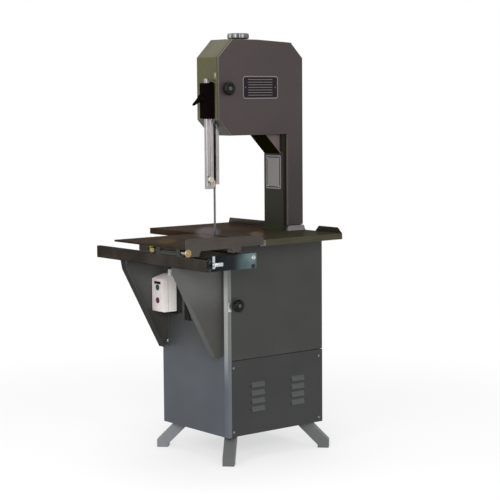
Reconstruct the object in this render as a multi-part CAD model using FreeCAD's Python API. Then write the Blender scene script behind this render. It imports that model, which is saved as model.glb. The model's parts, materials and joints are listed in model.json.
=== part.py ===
import FreeCAD, Part
import os

Vector = FreeCAD.Vector
alongX = Vector(1, 0, 0)
alongY = Vector(0, 1, 0)
alongZ = Vector(0, 0, 1)

# Sizes in millimetres. The drawing origin is on the floor under the middle of the cabinet,
# +X to the right along the door face, +Y to the back, +Z up.
cabinetHalfWidth = 257.0
cabinetFront = -229.0
cabinetBack = 229.0
cabinetBottom = 110.0
cabinetTop = 906.0
sheet = 2.5
panelSheet = 1.5
panelDepth = 9.0
panelGap = 2.0
panelInset = 0.8
seamHeight = 430.0
seamGap = 2.5
landingWidth = 24.0
postWidth = 19.0
postLanding = postWidth + 12.0
hoodHeight = 21.0
hoodDepth = 7.0
hoodWidth = 68.0
hoodPitch = 34.0
hoodRows = 4
hoodRise = 96.0
hoodInset = 122.0
hoodRightInset = 175.0
screwInset = 21.0
screwHeadRadius = 6.5

legWidth = 48.0
legWall = 3.0
legOverhang = 28.0
stubHeight = 33.0

# The column stands flush over the cabinet's right wall, and its cover stands proud of its frame.
columnWidth = 102.0
columnOverhang = 1.0
columnRight = cabinetHalfWidth + columnOverhang
columnLeft = columnRight - columnWidth
frameFront = -93.0
frameBack = 35.0
coverDepth = 13.0
coverColumnInset = 17.0
coverFront = frameFront - coverDepth
coverColumnLeft = columnLeft + coverColumnInset
frontStrip = 26.0

tableRise = 30.0
tableTop = cabinetTop + tableRise
tablePlate = 4.0
tableLip = 25.0
lipThickness = 3.0
coverRise = 24.0
coverBottom = tableTop + coverRise
footRibs = 9
footRibPitch = 9.0
footFlare = 12.0
footToe = 3.0
noticeSheet = 1.2
noticeDrop = 91.0
noticeHeight = 144.0

# The blade's return run comes down inside the column, and its cutting run just left of the table.
runningGap = 0.05
movingGap = 0.3
bladeInset = 69.0
returnInset = 16.0
wheelLeft = -cabinetHalfWidth + bladeInset
wheelRight = columnLeft + returnInset
wheelRadius = (wheelRight - wheelLeft) / 2
wheelX = (wheelRight + wheelLeft) / 2
headRise = 604.0
lowerDrop = 266.0
upperWheelZ = tableTop + headRise
lowerWheelZ = cabinetTop - lowerDrop
rimFront = -73.0
rimWidth = 30.0
rimBack = rimFront + rimWidth
rimThickness = 9.0
webThickness = 8.0
lightHoles = 5
lightHoleRadius = 40.0
lightHoleCircle = 102.0
axleRadius = 12.5
collarRadius = 20.0
hubRadius = 30.0
hubOverhang = 7.0
hubFront = rimFront - hubOverhang
hubBack = rimBack + hubOverhang
bladeThickness = 0.8
bladeWidth = 12.0
bladeSetback = 8.0
bladeFront = rimFront + bladeSetback
bladeBack = bladeFront + bladeWidth
bladeInner = wheelRadius + movingGap
bladeOuter = bladeInner + bladeThickness
bladeX = wheelX - bladeInner - bladeThickness / 2
bladeReturnX = 2 * wheelX - bladeX

headMargin = 10.0
headRoof = 20.0
headChamfer = 66.0
headLeft = wheelLeft - headMargin
headBottom = upperWheelZ - wheelRadius - headMargin
headTop = upperWheelZ + wheelRadius + headRoof
crownRise = 9.0
crownReach = 26.0
crownTop = headTop + crownRise
crownRight = wheelX + crownReach
headBackReach = 7.0
headBack = frameBack + headBackReach
braceReach = 83.0
braceDrop = 84.0
braceThickness = 4.0
braceWeb = 3.0

tableBladeGap = 7.7
tableSideOverhang = 5.0
tableFrontOverhang = 127.0
tableBackOverhang = 199.0
tableLeft = bladeX + tableBladeGap
tableRight = cabinetHalfWidth + tableSideOverhang
tableFront = cabinetFront - tableFrontOverhang
tableBack = cabinetBack + tableBackOverhang
upstandHeight = 23.0
frontUpstand = 172.0
rearUpstand = 364.0
supportWall = 24.0
supportInset = 107.0

railDrop = 53.0
railHeight = 50.0
railTop = tableTop - railDrop
railBottom = railTop - railHeight
railWidth = 20.0
railWall = 3.0
railFrontReach = 49.0
railBackInset = 57.0
railFront = tableFront - railFrontReach
railBack = tableBack - railBackInset
railSpacing = 218.0
innerRailX = -cabinetHalfWidth - railWidth / 2
outerRailX = innerRailX - railSpacing
bracketRise = 16.0
bracketBottom = seamHeight + bracketRise
bracketPlate = 4.0
bracketFlange = 36.0
bracketTab = 30.0
bracketDrop = 39.0
bracketToe = 35.0
bracketEdge = 4.5
boltInset = 13.0
rearBracketInset = 20.0
frontBracketInset = 39.0
bracketRear = cabinetBack - rearBracketInset
bracketFront = cabinetFront + frontBracketInset
crossPlate = 3.0
lockInset = 20.0
lockDrop = 22.0
lockShank = 4.0
lockStrap = 4.0
lockStrapHalf = 6.0
lockStrapDrop = 16.0
lockStrapRise = 33.0
gripLength = 36.0
gripHalf = 8.0
wingReach = 17.0

carriageOverhang = 108.0
carriageBladeGap = 7.3
carriageSetback = 6.0
carriageLength = 491.0
carriageLeft = outerRailX - carriageOverhang
carriageRight = bladeX - carriageBladeGap
carriageFront = railFront + carriageSetback
carriageBack = carriageFront + carriageLength
carriageDrop = 3.0
carriageTop = tableTop - carriageDrop
carriagePlate = 3.0
carriageLip = 7.0
fenceRise = 32.0
fenceTop = tableTop + fenceRise
fenceEndInset = 10.0
fenceFeet = ((carriageLeft, carriageLeft + 65.0),
             (carriageLeft + 227.0, carriageLeft + 269.0))
rollerRadius = 16.0
rollerWidth = 14.0
rollerShift = 3.0
rollerAxleRadius = 4.0
frontRollerInset = 109.0
rearRollerInset = 127.0
rollerFrontY = carriageFront + frontRollerInset
rollerRearY = carriageBack - rearRollerInset
rollerZ = railTop + movingGap + rollerRadius
hangerPlate = 3.0
hangerHalf = 12.0
tieRadius = 5.0
tieX = carriageLeft + 10.6
tieZ = carriageTop - 20.0
tieBack = carriageBack - 234.5
sleeveRadius = 8.0
sleeveZ = carriageTop - 28.0
sleeveFront = carriageFront + 64.5
sleeveBack = sleeveFront + 107.0
tieBlock = 26.0
tieNutRadius = 15.0
tieNutDepth = 5.0

barInset = 43.3
barWidth = 18.0
barLeft = bladeX - barInset
barRight = barLeft + barWidth
barBack = bladeBack + 4.0
barRise = 236.0
barTop = headBottom + barRise
guideRise = 195.0
guideBottom = tableTop + guideRise
guardSheet = 3.0
guardFront = bladeFront - 7.0
guardBack = bladeBack + 9.0
guardRight = bladeX + 16.7
guardMouthLeft = bladeX - 12.3
guardMouthRight = bladeX + 1.7
guardRise = 50.0
clampInset = 11.0
clampRise = 71.0
clampHeight = 147.0
clampLeft = barLeft - clampInset
clampBottom = headBottom + clampRise
clampTop = clampBottom + clampHeight
clampScrewRadius = 5.0
clampScrewRise = 82.0
guideDiscRadius = 14.0
guideDiscInset = 4.3
guideDiscRise = 39.0

hingeInset = 3.5
hingeDepth = 5.0
knuckleRadius = 3.0
pinRadius = 1.5
knuckleLength = 24.0

knobShaft = 5.0
knobShape = ((0, 0), (0.62, 0), (0.7, 0.25), (1, 0.4), (0.97, 0.75), (0.75, 0.93), (0.3, 1), (0, 1))
headKnobRadius = 29.0
headKnobX = headLeft + 41.0
headKnobZ = upperWheelZ + 5.0
badgeLeftReach = 64.0
badgeWidth = 190.0
badgeDrop = 38.0
badgeHeight = 95.0
badgeRim = 7.0
badgeCorner = 20.0
badgeProud = 2.0
badgeField = 1.2
doorKnobRadius = 26.0
doorKnobX = -cabinetHalfWidth + 45.0
doorKnobZ = seamHeight + 230.0

keeperMargin = 1.5
keeperSheet = 2.0
keeperDrop = 24.0
keeperRise = 13.0
tabSheet = 3.0
tabReach = 14.0
tabDepth = 24.0
tabRise = 12.0
tabHeight = 32.0

pulleyFloor = 100.0
motorPulleyFloor = 36.0
beltDepth = 8.0
beltWidth = 13.0
pulleyFlange = 4.0
beltInset = 54.0
beltY = cabinetBack - beltInset
motorX = wheelX + 78.0
motorZ = cabinetBottom + 125.0
motorRadius = 82.0
motorLength = 190.0
motorSetback = 55.0
motorFoot = 12.0
motorBoxFront = 40.0
motorBoxBack = 60.0
motorShaftRadius = 10.0
motorShaftInside = 59.0
motorShaftLength = 130.0
motorBellStep = 14.0
motorBellFront = 22.0
motorBellBack = 18.0
motorBoxHalf = 36.0
motorBoxRise = 34.0
motorLegMiddle = 70.0
motorLegHalf = 20.0
motorPlateHalf = 110.0
driveShaftRadius = 15.0
bearingRadius = 34.0
bearingWidth = 34.0
bearingFootHalf = 60.0
bearingStandHalf = 30.0
bearingFoot = 16.0
shelfDrop = 50.0
shelfThickness = 6.0
shelfLip = 46.0

screwRadius = 8.0
screwY = 2.0
blockHalf = 30.0
blockHeight = 70.0
blockDepth = 30.0
wayWidth = 14.0
wayLip = 8.0
wayBottom = upperWheelZ - 120.0
wayTop = upperWheelZ + 150.0
handwheelRadius = 46.0
handwheelGap = 3.0
handwheelHeight = 26.0
handwheelBottom = crownTop + handwheelGap
handwheelTop = handwheelBottom + handwheelHeight
scallopRadius = 11.0
scallopCount = 6

switchGap = 5.0
switchDepth = 68.0
switchWidth = 82.0
switchHeight = 140.0
switchInset = 28.0
switchDrop = 88.0
switchRight = -cabinetHalfWidth - switchGap
switchLeft = switchRight - switchDepth
switchBack = cabinetBack - switchInset
switchFront = switchBack - switchWidth
switchTop = railBottom - switchDrop
switchBottom = switchTop - switchHeight
switchRise = 18.0
switchWall = 3.0
switchArmReach = 57.0
switchArmWidth = 14.0
switchToe = 99.0
switchToeRise = 77.0
startZ = switchTop - 37.0
stopZ = switchTop - 92.0
buttonRadius = 8.0
glandX = switchRight - 24.5
glandY = switchFront + 10.5
glandBody = 8.0
glandNut = 10.0
glandBore = 5.0
glandSeat = 6.0
wallGlandY = switchFront - 7.0
wallGlandZ = switchTop + 31.0
wallGlandNut = 13.0

# The row frame's origin is under the middle of the whole object.
rootTwo = 2.0 ** 0.5
footReach = cabinetHalfWidth + (legOverhang + legWidth / 2) / rootTwo
wingFront = railFront - crossPlate - wingReach
originX = (carriageLeft + footReach) / 2
originY = (wingFront + tableBack) / 2


def box(x0, x1, y0, y1, z0, z1):
    return Part.makeBox(x1 - x0, y1 - y0, z1 - z0, Vector(x0, y0, z0))


def rod(radius, start, direction, length):
    return Part.makeCylinder(radius, length, Vector(*start), direction)


def prism(points, direction):
    corners = [Vector(*point) for point in points]
    return Part.Face(Part.makePolygon(corners + [corners[0]])).extrude(direction)


def prismAlongY(points, y0, y1):
    return prism([(x, y0, z) for x, z in points], Vector(0, y1 - y0, 0))


def prismAlongX(points, x0, x1):
    return prism([(x0, y, z) for y, z in points], Vector(x1 - x0, 0, 0))


def join(shapes):
    result = shapes[0]
    for shape in shapes[1:]:
        result = result.fuse(shape)
    return result.removeSplitter()


def subtract(shape, tools):
    for tool in tools:
        shape = shape.cut(tool)
    return shape


def turned(profile, base, direction):
    # profile lists (radius, height) pairs round the axis
    points = [Vector(radius, 0, height) for radius, height in profile]
    face = Part.Face(Part.makePolygon(points + [points[0]]))
    solid = face.revolve(Vector(0, 0, 0), alongZ, 360)
    solid.Placement = FreeCAD.Placement(Vector(*base), FreeCAD.Rotation(alongZ, direction))
    return solid


def roundAlong(shape, radius, direction):
    edges = []
    for edge in shape.Edges:
        if edge.Curve.TypeId == "Part::GeomLine":
            if abs(edge.tangentAt(edge.FirstParameter).dot(direction)) > 0.999:
                edges.append(edge)
    return shape.makeFillet(radius, edges)


def save(name, shape):
    placed = shape.copy()
    placed.translate(Vector(-originX, -originY, 0))
    placed.exportStep("parts/" + name + ".step")


def cabinet():
    half = cabinetHalfWidth
    front = cabinetFront + panelDepth + panelGap
    outside = box(-half, half, front, cabinetBack, cabinetBottom, cabinetTop)
    inside = box(-half + sheet, half - sheet, front - 1, cabinetBack - sheet,
                 cabinetBottom + sheet, cabinetTop - sheet)
    shell = outside.cut(inside)
    inner = half - sheet
    halfLanding = landingWidth / 2
    landings = [
        box(-half, -inner, cabinetFront, front, cabinetBottom, cabinetTop),
        box(-half, -half + postWidth, cabinetFront, cabinetFront + sheet, cabinetBottom, cabinetTop),
        box(-inner, -half + postLanding, front, front + sheet, cabinetBottom, cabinetTop),
        box(inner - landingWidth, inner, front, front + sheet, cabinetBottom, cabinetTop),
        box(-inner, inner, front, front + sheet, seamHeight - halfLanding, seamHeight + halfLanding),
        box(-inner, inner, front, front + sheet, cabinetTop - landingWidth, cabinetTop - sheet),
        box(-inner, inner, front, front + sheet, cabinetBottom + sheet, cabinetBottom + landingWidth),
    ]
    shell = join([shell] + landings)
    slotReach = 14.0
    slots = []
    for slotX in (bladeX, bladeReturnX):
        slots.append(box(slotX - slotReach, slotX + slotReach, rimFront - 8, rimBack + 8,
                         cabinetTop - 2 * sheet, cabinetTop + 1))
    slots.append(rod(glandBore + 0.5, (-half - 1, wallGlandY, wallGlandZ), alongX, sheet + 2))
    save("cabinet_shell", subtract(shell, slots))


def leg(signX, signY):
    slope = legWidth * rootTwo
    upper = legOverhang + stubHeight
    lower = upper - slope
    inset = legWall * rootTwo
    foot = legOverhang - legWidth
    height = cabinetBottom
    outline = [(legOverhang, 0), (legOverhang, stubHeight), (upper - height, height),
               (lower - height, height), (foot, lower - foot), (foot, 0)]
    over = height + 1
    innerFoot = foot + legWall
    innerSide = legOverhang - legWall
    hollow = [(innerSide, legWall), (innerSide, upper - inset - innerSide),
              (upper - inset - over, over), (lower + inset - over, over),
              (innerFoot, lower + inset - innerFoot), (innerFoot, legWall)]
    halfWidth = legWidth / 2
    tube = roundAlong(prismAlongY(outline, -halfWidth, halfWidth), 1.5, alongY)
    tube = tube.cut(prismAlongY(hollow, -halfWidth + legWall, halfWidth - legWall))
    angles = {(1, 1): 45, (-1, 1): 135, (-1, -1): 225, (1, -1): 315}
    tube.rotate(Vector(0, 0, 0), alongZ, angles[(signX, signY)])
    cornerY = cabinetBack if signY > 0 else cabinetFront
    tube.translate(Vector(signX * cabinetHalfWidth, cornerY, 0))
    return tube


def legs():
    save("legs", Part.makeCompound([leg(-1, -1), leg(1, -1), leg(-1, 1), leg(1, 1)]))


def pinHinge(hingeX, hingeY, hingeZ, landingY, coverY, seatX):
    # the fixed half carries the pin; the moving half turns on it
    fixed = [
        rod(knuckleRadius, (hingeX, hingeY, hingeZ - knuckleLength), alongZ, knuckleLength),
        rod(pinRadius, (hingeX, hingeY, hingeZ - knuckleLength), alongZ, 2 * knuckleLength),
        box(hingeX - 1, hingeX + 1, hingeY, landingY, hingeZ - knuckleLength, hingeZ),
        box(hingeX - 1, seatX, landingY - 1, landingY, hingeZ - knuckleLength, hingeZ),
    ]
    start = hingeZ + movingGap
    barrel = rod(knuckleRadius, (hingeX, hingeY, start), alongZ, knuckleLength)
    leaf = box(hingeX - 1, hingeX + 1, coverY, hingeY, start, start + knuckleLength)
    bore = rod(pinRadius + runningGap, (hingeX, hingeY, start - 1), alongZ, knuckleLength + 2)
    return join(fixed), subtract(join([barrel, leaf]), [bore])


def pan(x0, x1, z0, z1, front, depth, rightRim):
    sheetPart = box(x0, x1, front, front + panelSheet, z0, z1)
    rim = box(x0, rightRim, front, front + depth, z0, z1)
    hollow = box(x0 + panelSheet, rightRim - panelSheet, front + panelSheet, front + depth + 1,
                 z0 + panelSheet, z1 - panelSheet)
    return sheetPart.fuse(rim.cut(hollow)).removeSplitter()


def cabinetDoor():
    half = cabinetHalfWidth
    z0 = seamHeight + seamGap / 2
    z1 = cabinetTop - seamGap
    hingeX = half - hingeInset
    hingeY = cabinetFront + hingeDepth
    rim = hingeX - knuckleRadius - seamGap
    door = pan(-half + postWidth + panelInset, half, z0, z1, cabinetFront, panelDepth, rim)
    fixedHinges = []
    for hingeZ in (seamHeight + 80, cabinetTop - 96):
        fixed, moving = pinHinge(hingeX, hingeY, hingeZ, cabinetFront + panelDepth + panelGap,
                                 cabinetFront + panelSheet, half)
        fixedHinges.append(fixed)
        door = door.fuse(moving)
    hole = rod(knobShaft + runningGap, (doorKnobX, cabinetFront - 1, doorKnobZ), alongY, panelDepth)
    save("cabinet_door", door.removeSplitter().cut(hole))
    return fixedHinges


def latch(prefix, x, z, front, radius, tongueY, tongueReach):
    start = front - movingGap
    depth = radius * 1.1
    bore = rod(knobShaft, (x, start - depth * 0.6, z), alongY, depth)
    profile = [(radius * r, depth * d) for r, d in knobShape]
    knob = turned(profile, (x, start, z), Vector(0, -1, 0)).cut(bore)
    save(prefix + "_knob", knob)
    shaft = rod(knobShaft, (x, start - depth * 0.6, z), alongY, tongueY + 3 - start + depth * 0.6)
    tongue = box(x - 9, x + 9, tongueY, tongueY + 3, z - 10, z + tongueReach)
    save(prefix + "_latch", join([shaft, tongue]))


def louvrePanel():
    half = cabinetHalfWidth
    z0 = cabinetBottom + seamGap
    z1 = seamHeight - seamGap / 2
    panel = pan(-half + postWidth + panelInset, half, z0, z1, cabinetFront, panelDepth, half)
    hoods = []
    cuts = []
    face = cabinetFront
    for left in (-half + hoodInset, half - hoodRightInset):
        for row in range(hoodRows):
            low = cabinetBottom + hoodRise + row * hoodPitch
            high = low + hoodHeight
            outer = [(face, high), (face - hoodDepth, low + 2), (face - hoodDepth, low), (face, low)]
            thin = panelSheet
            inner = [(face + thin, high - 2 * thin), (face - hoodDepth + thin, low + 2),
                     (face - hoodDepth + thin, low - 1), (face + thin, low - 1)]
            hoods.append(prismAlongX(outer, left, left + hoodWidth))
            cuts.append(prismAlongX(inner, left + thin, left + hoodWidth - thin))
            cuts.append(box(left + thin, left + hoodWidth - thin, face - 1, face + thin + 1,
                            low, high - 2 * thin))
    panel = subtract(panel.fuse(hoods), cuts)
    holes = []
    screws = []
    screwLeft = postWidth + 9 - half
    screwRight = half - screwInset
    screwTop = seamHeight - screwInset - 9
    screwLow = cabinetBottom + screwInset + 1
    r = screwHeadRadius
    for x, z in [(x, z) for z in (screwTop, screwLow) for x in (screwLeft, screwRight)]:
        holes.append(rod(3.0, (x, face - 1, z), alongY, 4))
        head = turned([(0, 0), (r, 0), (r - 0.5, 2), (r - 2.5, 3.4), (0, 4)], (x, face, z), Vector(0, -1, 0))
        shank = rod(3.0, (x, face, z), alongY, panelDepth + panelGap)
        screws.append(head.fuse(shank).cut(box(x - 5, x + 5, face - 5, face - 3, z - 0.7, z + 0.7)))
    save("louvre_panel", subtract(panel, holes))
    save("louvre_screws", Part.makeCompound(screws))


def latchKeepers():
    left = -cabinetHalfWidth
    keeper = box(left + keeperMargin, left + postWidth - keeperMargin,
                 cabinetFront - keeperSheet, cabinetFront,
                 doorKnobZ - keeperDrop, doorKnobZ + keeperRise)
    tabBottom = clampTop + tabRise
    tabTop = tabBottom + tabHeight
    tab = join([
        box(headLeft - tabSheet, headLeft, frameFront, frameFront + tabDepth, tabBottom, tabTop),
        box(headLeft - tabReach, headLeft, frameFront, frameFront + tabSheet, tabBottom + 2, tabTop - 2),
    ])
    wall = headLeft + sheet
    catch = box(wall, wall + landingWidth, frameFront, frameFront + sheet, headKnobZ - 15, headKnobZ + 15)
    save("door_keepers", Part.makeCompound([keeper, tab, catch]))


def table():
    plate = box(tableLeft, tableRight, tableFront, tableBack, tableTop - tablePlate, tableTop)
    plate = roundAlong(plate, 6.0, alongZ)
    low = tableTop - tableLip
    t = lipThickness
    ring = box(tableLeft, tableRight, tableFront, tableBack, low, tableTop - tablePlate)
    ring = roundAlong(ring, 6.0, alongZ)
    ring = ring.cut(box(tableLeft + t, tableRight - t, tableFront + t, tableBack - t, low - 1, tableTop))
    # rolled front edge
    roll = rod(tableLip / 4, (tableLeft + 6, tableFront + tableLip / 4, low + tableLip / 4), alongX,
               tableRight - tableLeft - 12)
    top = join([plate, ring, roll])
    opening = box(bladeReturnX - 12, bladeReturnX + 12, rimFront, rimBack, low, tableTop + 1)
    save("table_top", top.cut(opening))
    x0 = tableRight - t
    front = prismAlongX([(tableFront + 4, tableTop), (tableFront + 30, tableTop + upstandHeight),
                         (tableFront + frontUpstand - 22, tableTop + upstandHeight),
                         (tableFront + frontUpstand, tableTop)], x0, tableRight)
    rear = prismAlongX([(tableBack - rearUpstand, tableTop),
                        (tableBack - rearUpstand + 16, tableTop + upstandHeight),
                        (tableBack - 14, tableTop + upstandHeight),
                        (tableBack - 6, tableTop)], x0, tableRight)
    bottom = cabinetTop
    supportLeft = -cabinetHalfWidth + supportInset
    supportRight = cabinetHalfWidth - supportWall - 3
    supportFront = cabinetFront + supportWall
    supportBack = cabinetBack - supportWall
    frameOuter = box(supportLeft, supportRight, supportFront, supportBack, bottom, tableTop - tablePlate)
    frameInner = box(supportLeft + supportWall, supportRight - supportWall, supportFront + supportWall,
                     supportBack - supportWall, bottom - 1, tableTop)
    returnGap = box(bladeReturnX - 14, bladeReturnX + 14, rimFront - 8, rimBack + 8, bottom - 1, tableTop)
    save("table_supports", subtract(frameOuter, [frameInner, returnGap]))
    clip = join([
        box(tableLeft - 9, tableLeft + 20, tableFront - 5, tableFront, low + 1, tableTop - 2),
        rod(6.0, (tableLeft + 6, tableFront - 5, low + 10), Vector(0, -1, 0), 4),
    ])
    save("table_upstands", Part.makeCompound([front, rear, clip]))


def headOutline(inset, left, right, bottom):
    cut = headChamfer - inset * (2 - rootTwo)
    x0 = headLeft + inset
    x1 = columnRight - inset
    z0 = headBottom + inset
    z1 = headTop - inset
    crown = z1 + crownRise
    return [(x0, z0 + cut), (x0, z1 - cut), (x0 + cut + crownRise, crown), (crownRight, crown),
            (x1 - cut, z1), (x1, z1 - cut), (right, bottom), (left, bottom), (left, z0), (x0 + cut, z0)]


def headAndColumn():
    shell = prismAlongY(headOutline(0, columnLeft, columnRight, headBottom)[:7]
                        + [(headLeft + headChamfer, headBottom)], frameFront, headBack)
    hollowOutline = headOutline(sheet, columnLeft, columnRight - sheet, headBottom + sheet)[:7]
    hollowOutline.append((headLeft + sheet + headChamfer - sheet * (2 - rootTwo), headBottom + sheet))
    shell = shell.cut(prismAlongY(hollowOutline, frameFront - 1, headBack - sheet))
    throat = box(columnLeft + sheet, columnRight - sheet, frameFront - 1, frameBack - sheet,
                 headBottom - 1, headBottom + 2 * sheet)
    guardSlot = box(headLeft - 1, guardRight + 2, guardFront - 1, guardBack + 1, headBottom, clampTop + 4)
    screwHole = rod(screwRadius + 6, (wheelX, screwY, crownTop - 2 * sheet), alongZ, 4 * sheet)
    save("head_shell", subtract(shell, [throat, guardSlot, screwHole]))
    post = box(columnLeft, columnRight, frameFront, frameBack, tableTop, headBottom)
    post = post.cut(box(columnLeft + sheet, columnRight - sheet, frameFront - 1, frameBack - sheet,
                        tableTop + 8, headBottom + 1))
    post = post.cut(box(bladeReturnX - 10, bladeReturnX + 12, rimFront, rimBack, tableTop - 1, tableTop + 9))
    strip = box(columnLeft, columnLeft + frontStrip, frameFront, frameFront + sheet, tableTop, headBottom)
    save("column_shell", join([post, strip]))
    braceX = columnLeft - braceReach
    braceZ = headBottom - braceDrop
    plateFront = frameFront + 14
    plateBack = frameBack - 4
    lean = 2 * braceThickness
    brace = [prismAlongY([(braceX, headBottom), (columnLeft, braceZ), (columnLeft, braceZ + lean),
                          (braceX + lean, headBottom)], plateFront, plateBack)]
    webShape = [(braceX + 2, headBottom), (columnLeft, braceZ + 2), (columnLeft, headBottom)]
    for webY in (plateFront + 7, plateBack - 4 - braceWeb):
        brace.append(prismAlongY(webShape, webY, webY + braceWeb))
    save("column_brace", join(brace))
    columnFoot()
    noticeTop = headBottom - noticeDrop
    plate = box(columnLeft - noticeSheet, columnLeft, plateFront, frameBack - 14,
                noticeTop - noticeHeight, noticeTop)
    save("notice_plate", roundAlong(plate, 5.0, alongX))


def columnFoot():
    # a ribbed piece under the cover, and a skirt down the column's left side
    footTop = coverBottom - seamGap
    toeTop = tableTop + footToe
    toe = coverFront - footFlare
    slope = (footFlare - 1) / (footTop - toeTop)
    left = coverColumnLeft - footFlare + footToe
    foot = prismAlongX([(coverFront + 11, tableTop), (toe, tableTop), (toe, toeTop),
                        (coverFront - 1, footTop), (coverFront + 11, footTop)], left, columnRight + 2)
    tools = [prismAlongY([(left - 1, toeTop), (left, toeTop), (coverColumnLeft, footTop),
                          (coverColumnLeft, footTop + 1), (left - 1, footTop + 1)],
                         toe - 1, coverFront + 12)]
    low = toeTop + 2
    high = footTop - 2
    lowY = toe + slope * (low - toeTop)
    highY = toe + slope * (high - toeTop)
    for step in range(footRibs):
        ribX = coverColumnLeft + 4 + step * footRibPitch
        tools.append(prismAlongX([(lowY - 2, low), (highY - 2, high), (highY + 1.5, high), (lowY + 1.5, low)],
                                 ribX, ribX + footRibPitch / 2))
    skirt = prismAlongY([(columnLeft - footFlare, tableTop), (columnLeft - footFlare, toeTop),
                         (columnLeft, footTop), (columnLeft, tableTop)], frameFront, frameBack)
    save("column_foot", Part.makeCompound([subtract(foot, tools), skirt]))


def headDoor():
    outline = headOutline(panelSheet, coverColumnLeft, columnRight - panelSheet, coverBottom)
    outline[8] = (coverColumnLeft, headBottom + panelSheet)
    hingeX = columnRight - panelSheet - hingeInset
    hingeY = coverFront + hingeDepth
    rimRight = hingeX - knuckleRadius - seamGap
    front = prismAlongY(outline, coverFront, coverFront + panelSheet)
    inset = 2 * panelSheet
    hollow = headOutline(inset, coverColumnLeft + panelSheet, rimRight - panelSheet, coverBottom + panelSheet)
    hollow[8] = (coverColumnLeft + panelSheet, headBottom + inset)
    hollow[5] = (rimRight - panelSheet, headTop - headChamfer - 14)
    hollow[4] = (rimRight - panelSheet - headChamfer + 14, headTop - inset)
    rimShape = [point for point in outline]
    rimShape[6] = (rimRight, coverBottom)
    rimShape[5] = (rimRight, headTop - headChamfer - 12)
    rimShape[4] = (rimRight - headChamfer + 12, headTop - panelSheet)
    back = frameFront - panelGap
    rim = prismAlongY(rimShape, coverFront, back).cut(prismAlongY(hollow, coverFront + panelSheet, back + 1))
    door = front.fuse(rim)
    fixedHinges = []
    for hingeZ in (coverBottom + 80, headBottom - 50, headTop - 140):
        fixed, moving = pinHinge(hingeX, hingeY, hingeZ, frameFront, coverFront + panelSheet, columnRight)
        fixedHinges.append(fixed)
        door = door.fuse(moving)
    hole = rod(knobShaft + runningGap, (headKnobX, coverFront - 1, headKnobZ), alongY, panelDepth)
    save("head_door", door.removeSplitter().cut(hole))
    left = wheelX - badgeLeftReach
    right = left + badgeWidth
    low = upperWheelZ - badgeDrop
    high = low + badgeHeight
    rim = badgeRim
    badge = roundAlong(box(left, right, coverFront - badgeProud, coverFront, low, high), badgeCorner, alongY)
    field = box(left + rim, right - rim, coverFront - badgeProud - 1, coverFront - badgeField,
                low + rim, high - rim)
    field = roundAlong(field, badgeCorner - rim + 1, alongY)
    save("badge_plate", badge.cut(field))
    return fixedHinges


def tubeRail(centreX):
    half = railWidth / 2
    rail = box(centreX - half, centreX + half, railFront, railBack, railBottom, railTop)
    rail = roundAlong(rail, 2.0, alongY)
    hollow = box(centreX - half + railWall, centreX + half - railWall, railFront - 1, railBack + 1,
                 railBottom + railWall, railTop - railWall)
    return rail.cut(hollow)


def railBracket(webY, inward):
    # webY is the web's outer face; its flange and its wall tab turn inward from there
    outer = outerRailX
    edge = outer + 8
    wall = -cabinetHalfWidth
    toe = wall - bracketToe
    kink = railBottom - bracketDrop
    faceY = webY + inward * bracketPlate
    web = prismAlongY([(wall, railBottom), (outer, railBottom), (edge, kink), (toe, bracketBottom),
                       (wall, bracketBottom)], webY, faceY)
    flange = prismAlongY([(outer, railBottom), (edge, kink), (toe, bracketBottom),
                          (toe + bracketEdge, bracketBottom), (edge + bracketEdge, kink + 1),
                          (outer + bracketPlate, railBottom)], webY, webY + inward * bracketFlange)
    tab = prismAlongY([(wall - bracketPlate, bracketBottom), (wall, bracketBottom), (wall, railBottom),
                       (wall - bracketPlate, railBottom)], webY, webY + inward * bracketTab)
    return join([web, flange, tab])


def boltHead(base, direction):
    return turned([(0, 0), (8, 0), (8, 1.6), (6.5, 1.6), (6.5, 5.5), (5, 7), (0, 7)], base, direction)


def rails():
    outer = tubeRail(outerRailX)
    inner = tubeRail(innerRailX)
    save("outer_rail", outer)
    save("inner_rail", inner)
    lockX = outerRailX + lockInset
    lockZ = railTop - lockDrop
    face = railFront - crossPlate
    plate = box(outerRailX - railWidth / 2, innerRailX + 18, face, railFront, railBottom, railTop + 10)
    strapFront = face - lockStrap
    strap = box(lockX - lockStrapHalf, lockX + lockStrapHalf, strapFront, face,
                lockZ - lockStrapDrop, lockZ + lockStrapRise)
    lockBore = rod(lockShank + runningGap, (lockX, strapFront - 1, lockZ), alongY, lockStrap + crossPlate + 2)
    save("cross_plate", join([roundAlong(plate, 3.0, alongY), strap]).cut(lockBore))
    front = Vector(0, -1, 0)
    bolts = []
    for x in (innerRailX + 3, outerRailX):
        for z in (railTop - 8, railBottom + 8):
            bolts.append(boltHead((x, face, z), front))
    pair = ((bracketRear, -1), (bracketFront, 1))
    save("rail_brackets", Part.makeCompound([railBracket(webY, inward) for webY, inward in pair]))
    for webY, inward in pair:
        faceY = webY + inward * bracketPlate
        bolts.append(boltHead((outerRailX + 28, faceY, railBottom - 12), Vector(0, inward, 0)))
        for z in (bracketBottom + 24, railBottom - 30):
            place = (-cabinetHalfWidth - bracketPlate, faceY + inward * boltInset, z)
            bolts.append(boltHead(place, Vector(-1, 0, 0)))
    save("rail_bolts", Part.makeCompound(bolts))
    hubBack = strapFront - movingGap
    hub = rod(2 * lockShank, (lockX, wingFront + 2, lockZ), alongY, hubBack - wingFront - 2)
    shank = rod(lockShank, (lockX, hubBack, lockZ), alongY, railFront + movingGap + 7 - hubBack)
    grip = box(lockX, lockX + gripLength, wingFront, hubBack - movingGap, lockZ - gripHalf, lockZ + gripHalf)
    nut = rod(9.0, (lockX, railFront + movingGap, lockZ), alongY, 7)
    save("rail_lock", join([hub, shank, roundAlong(grip, 5.0, alongX), nut]))


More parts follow.
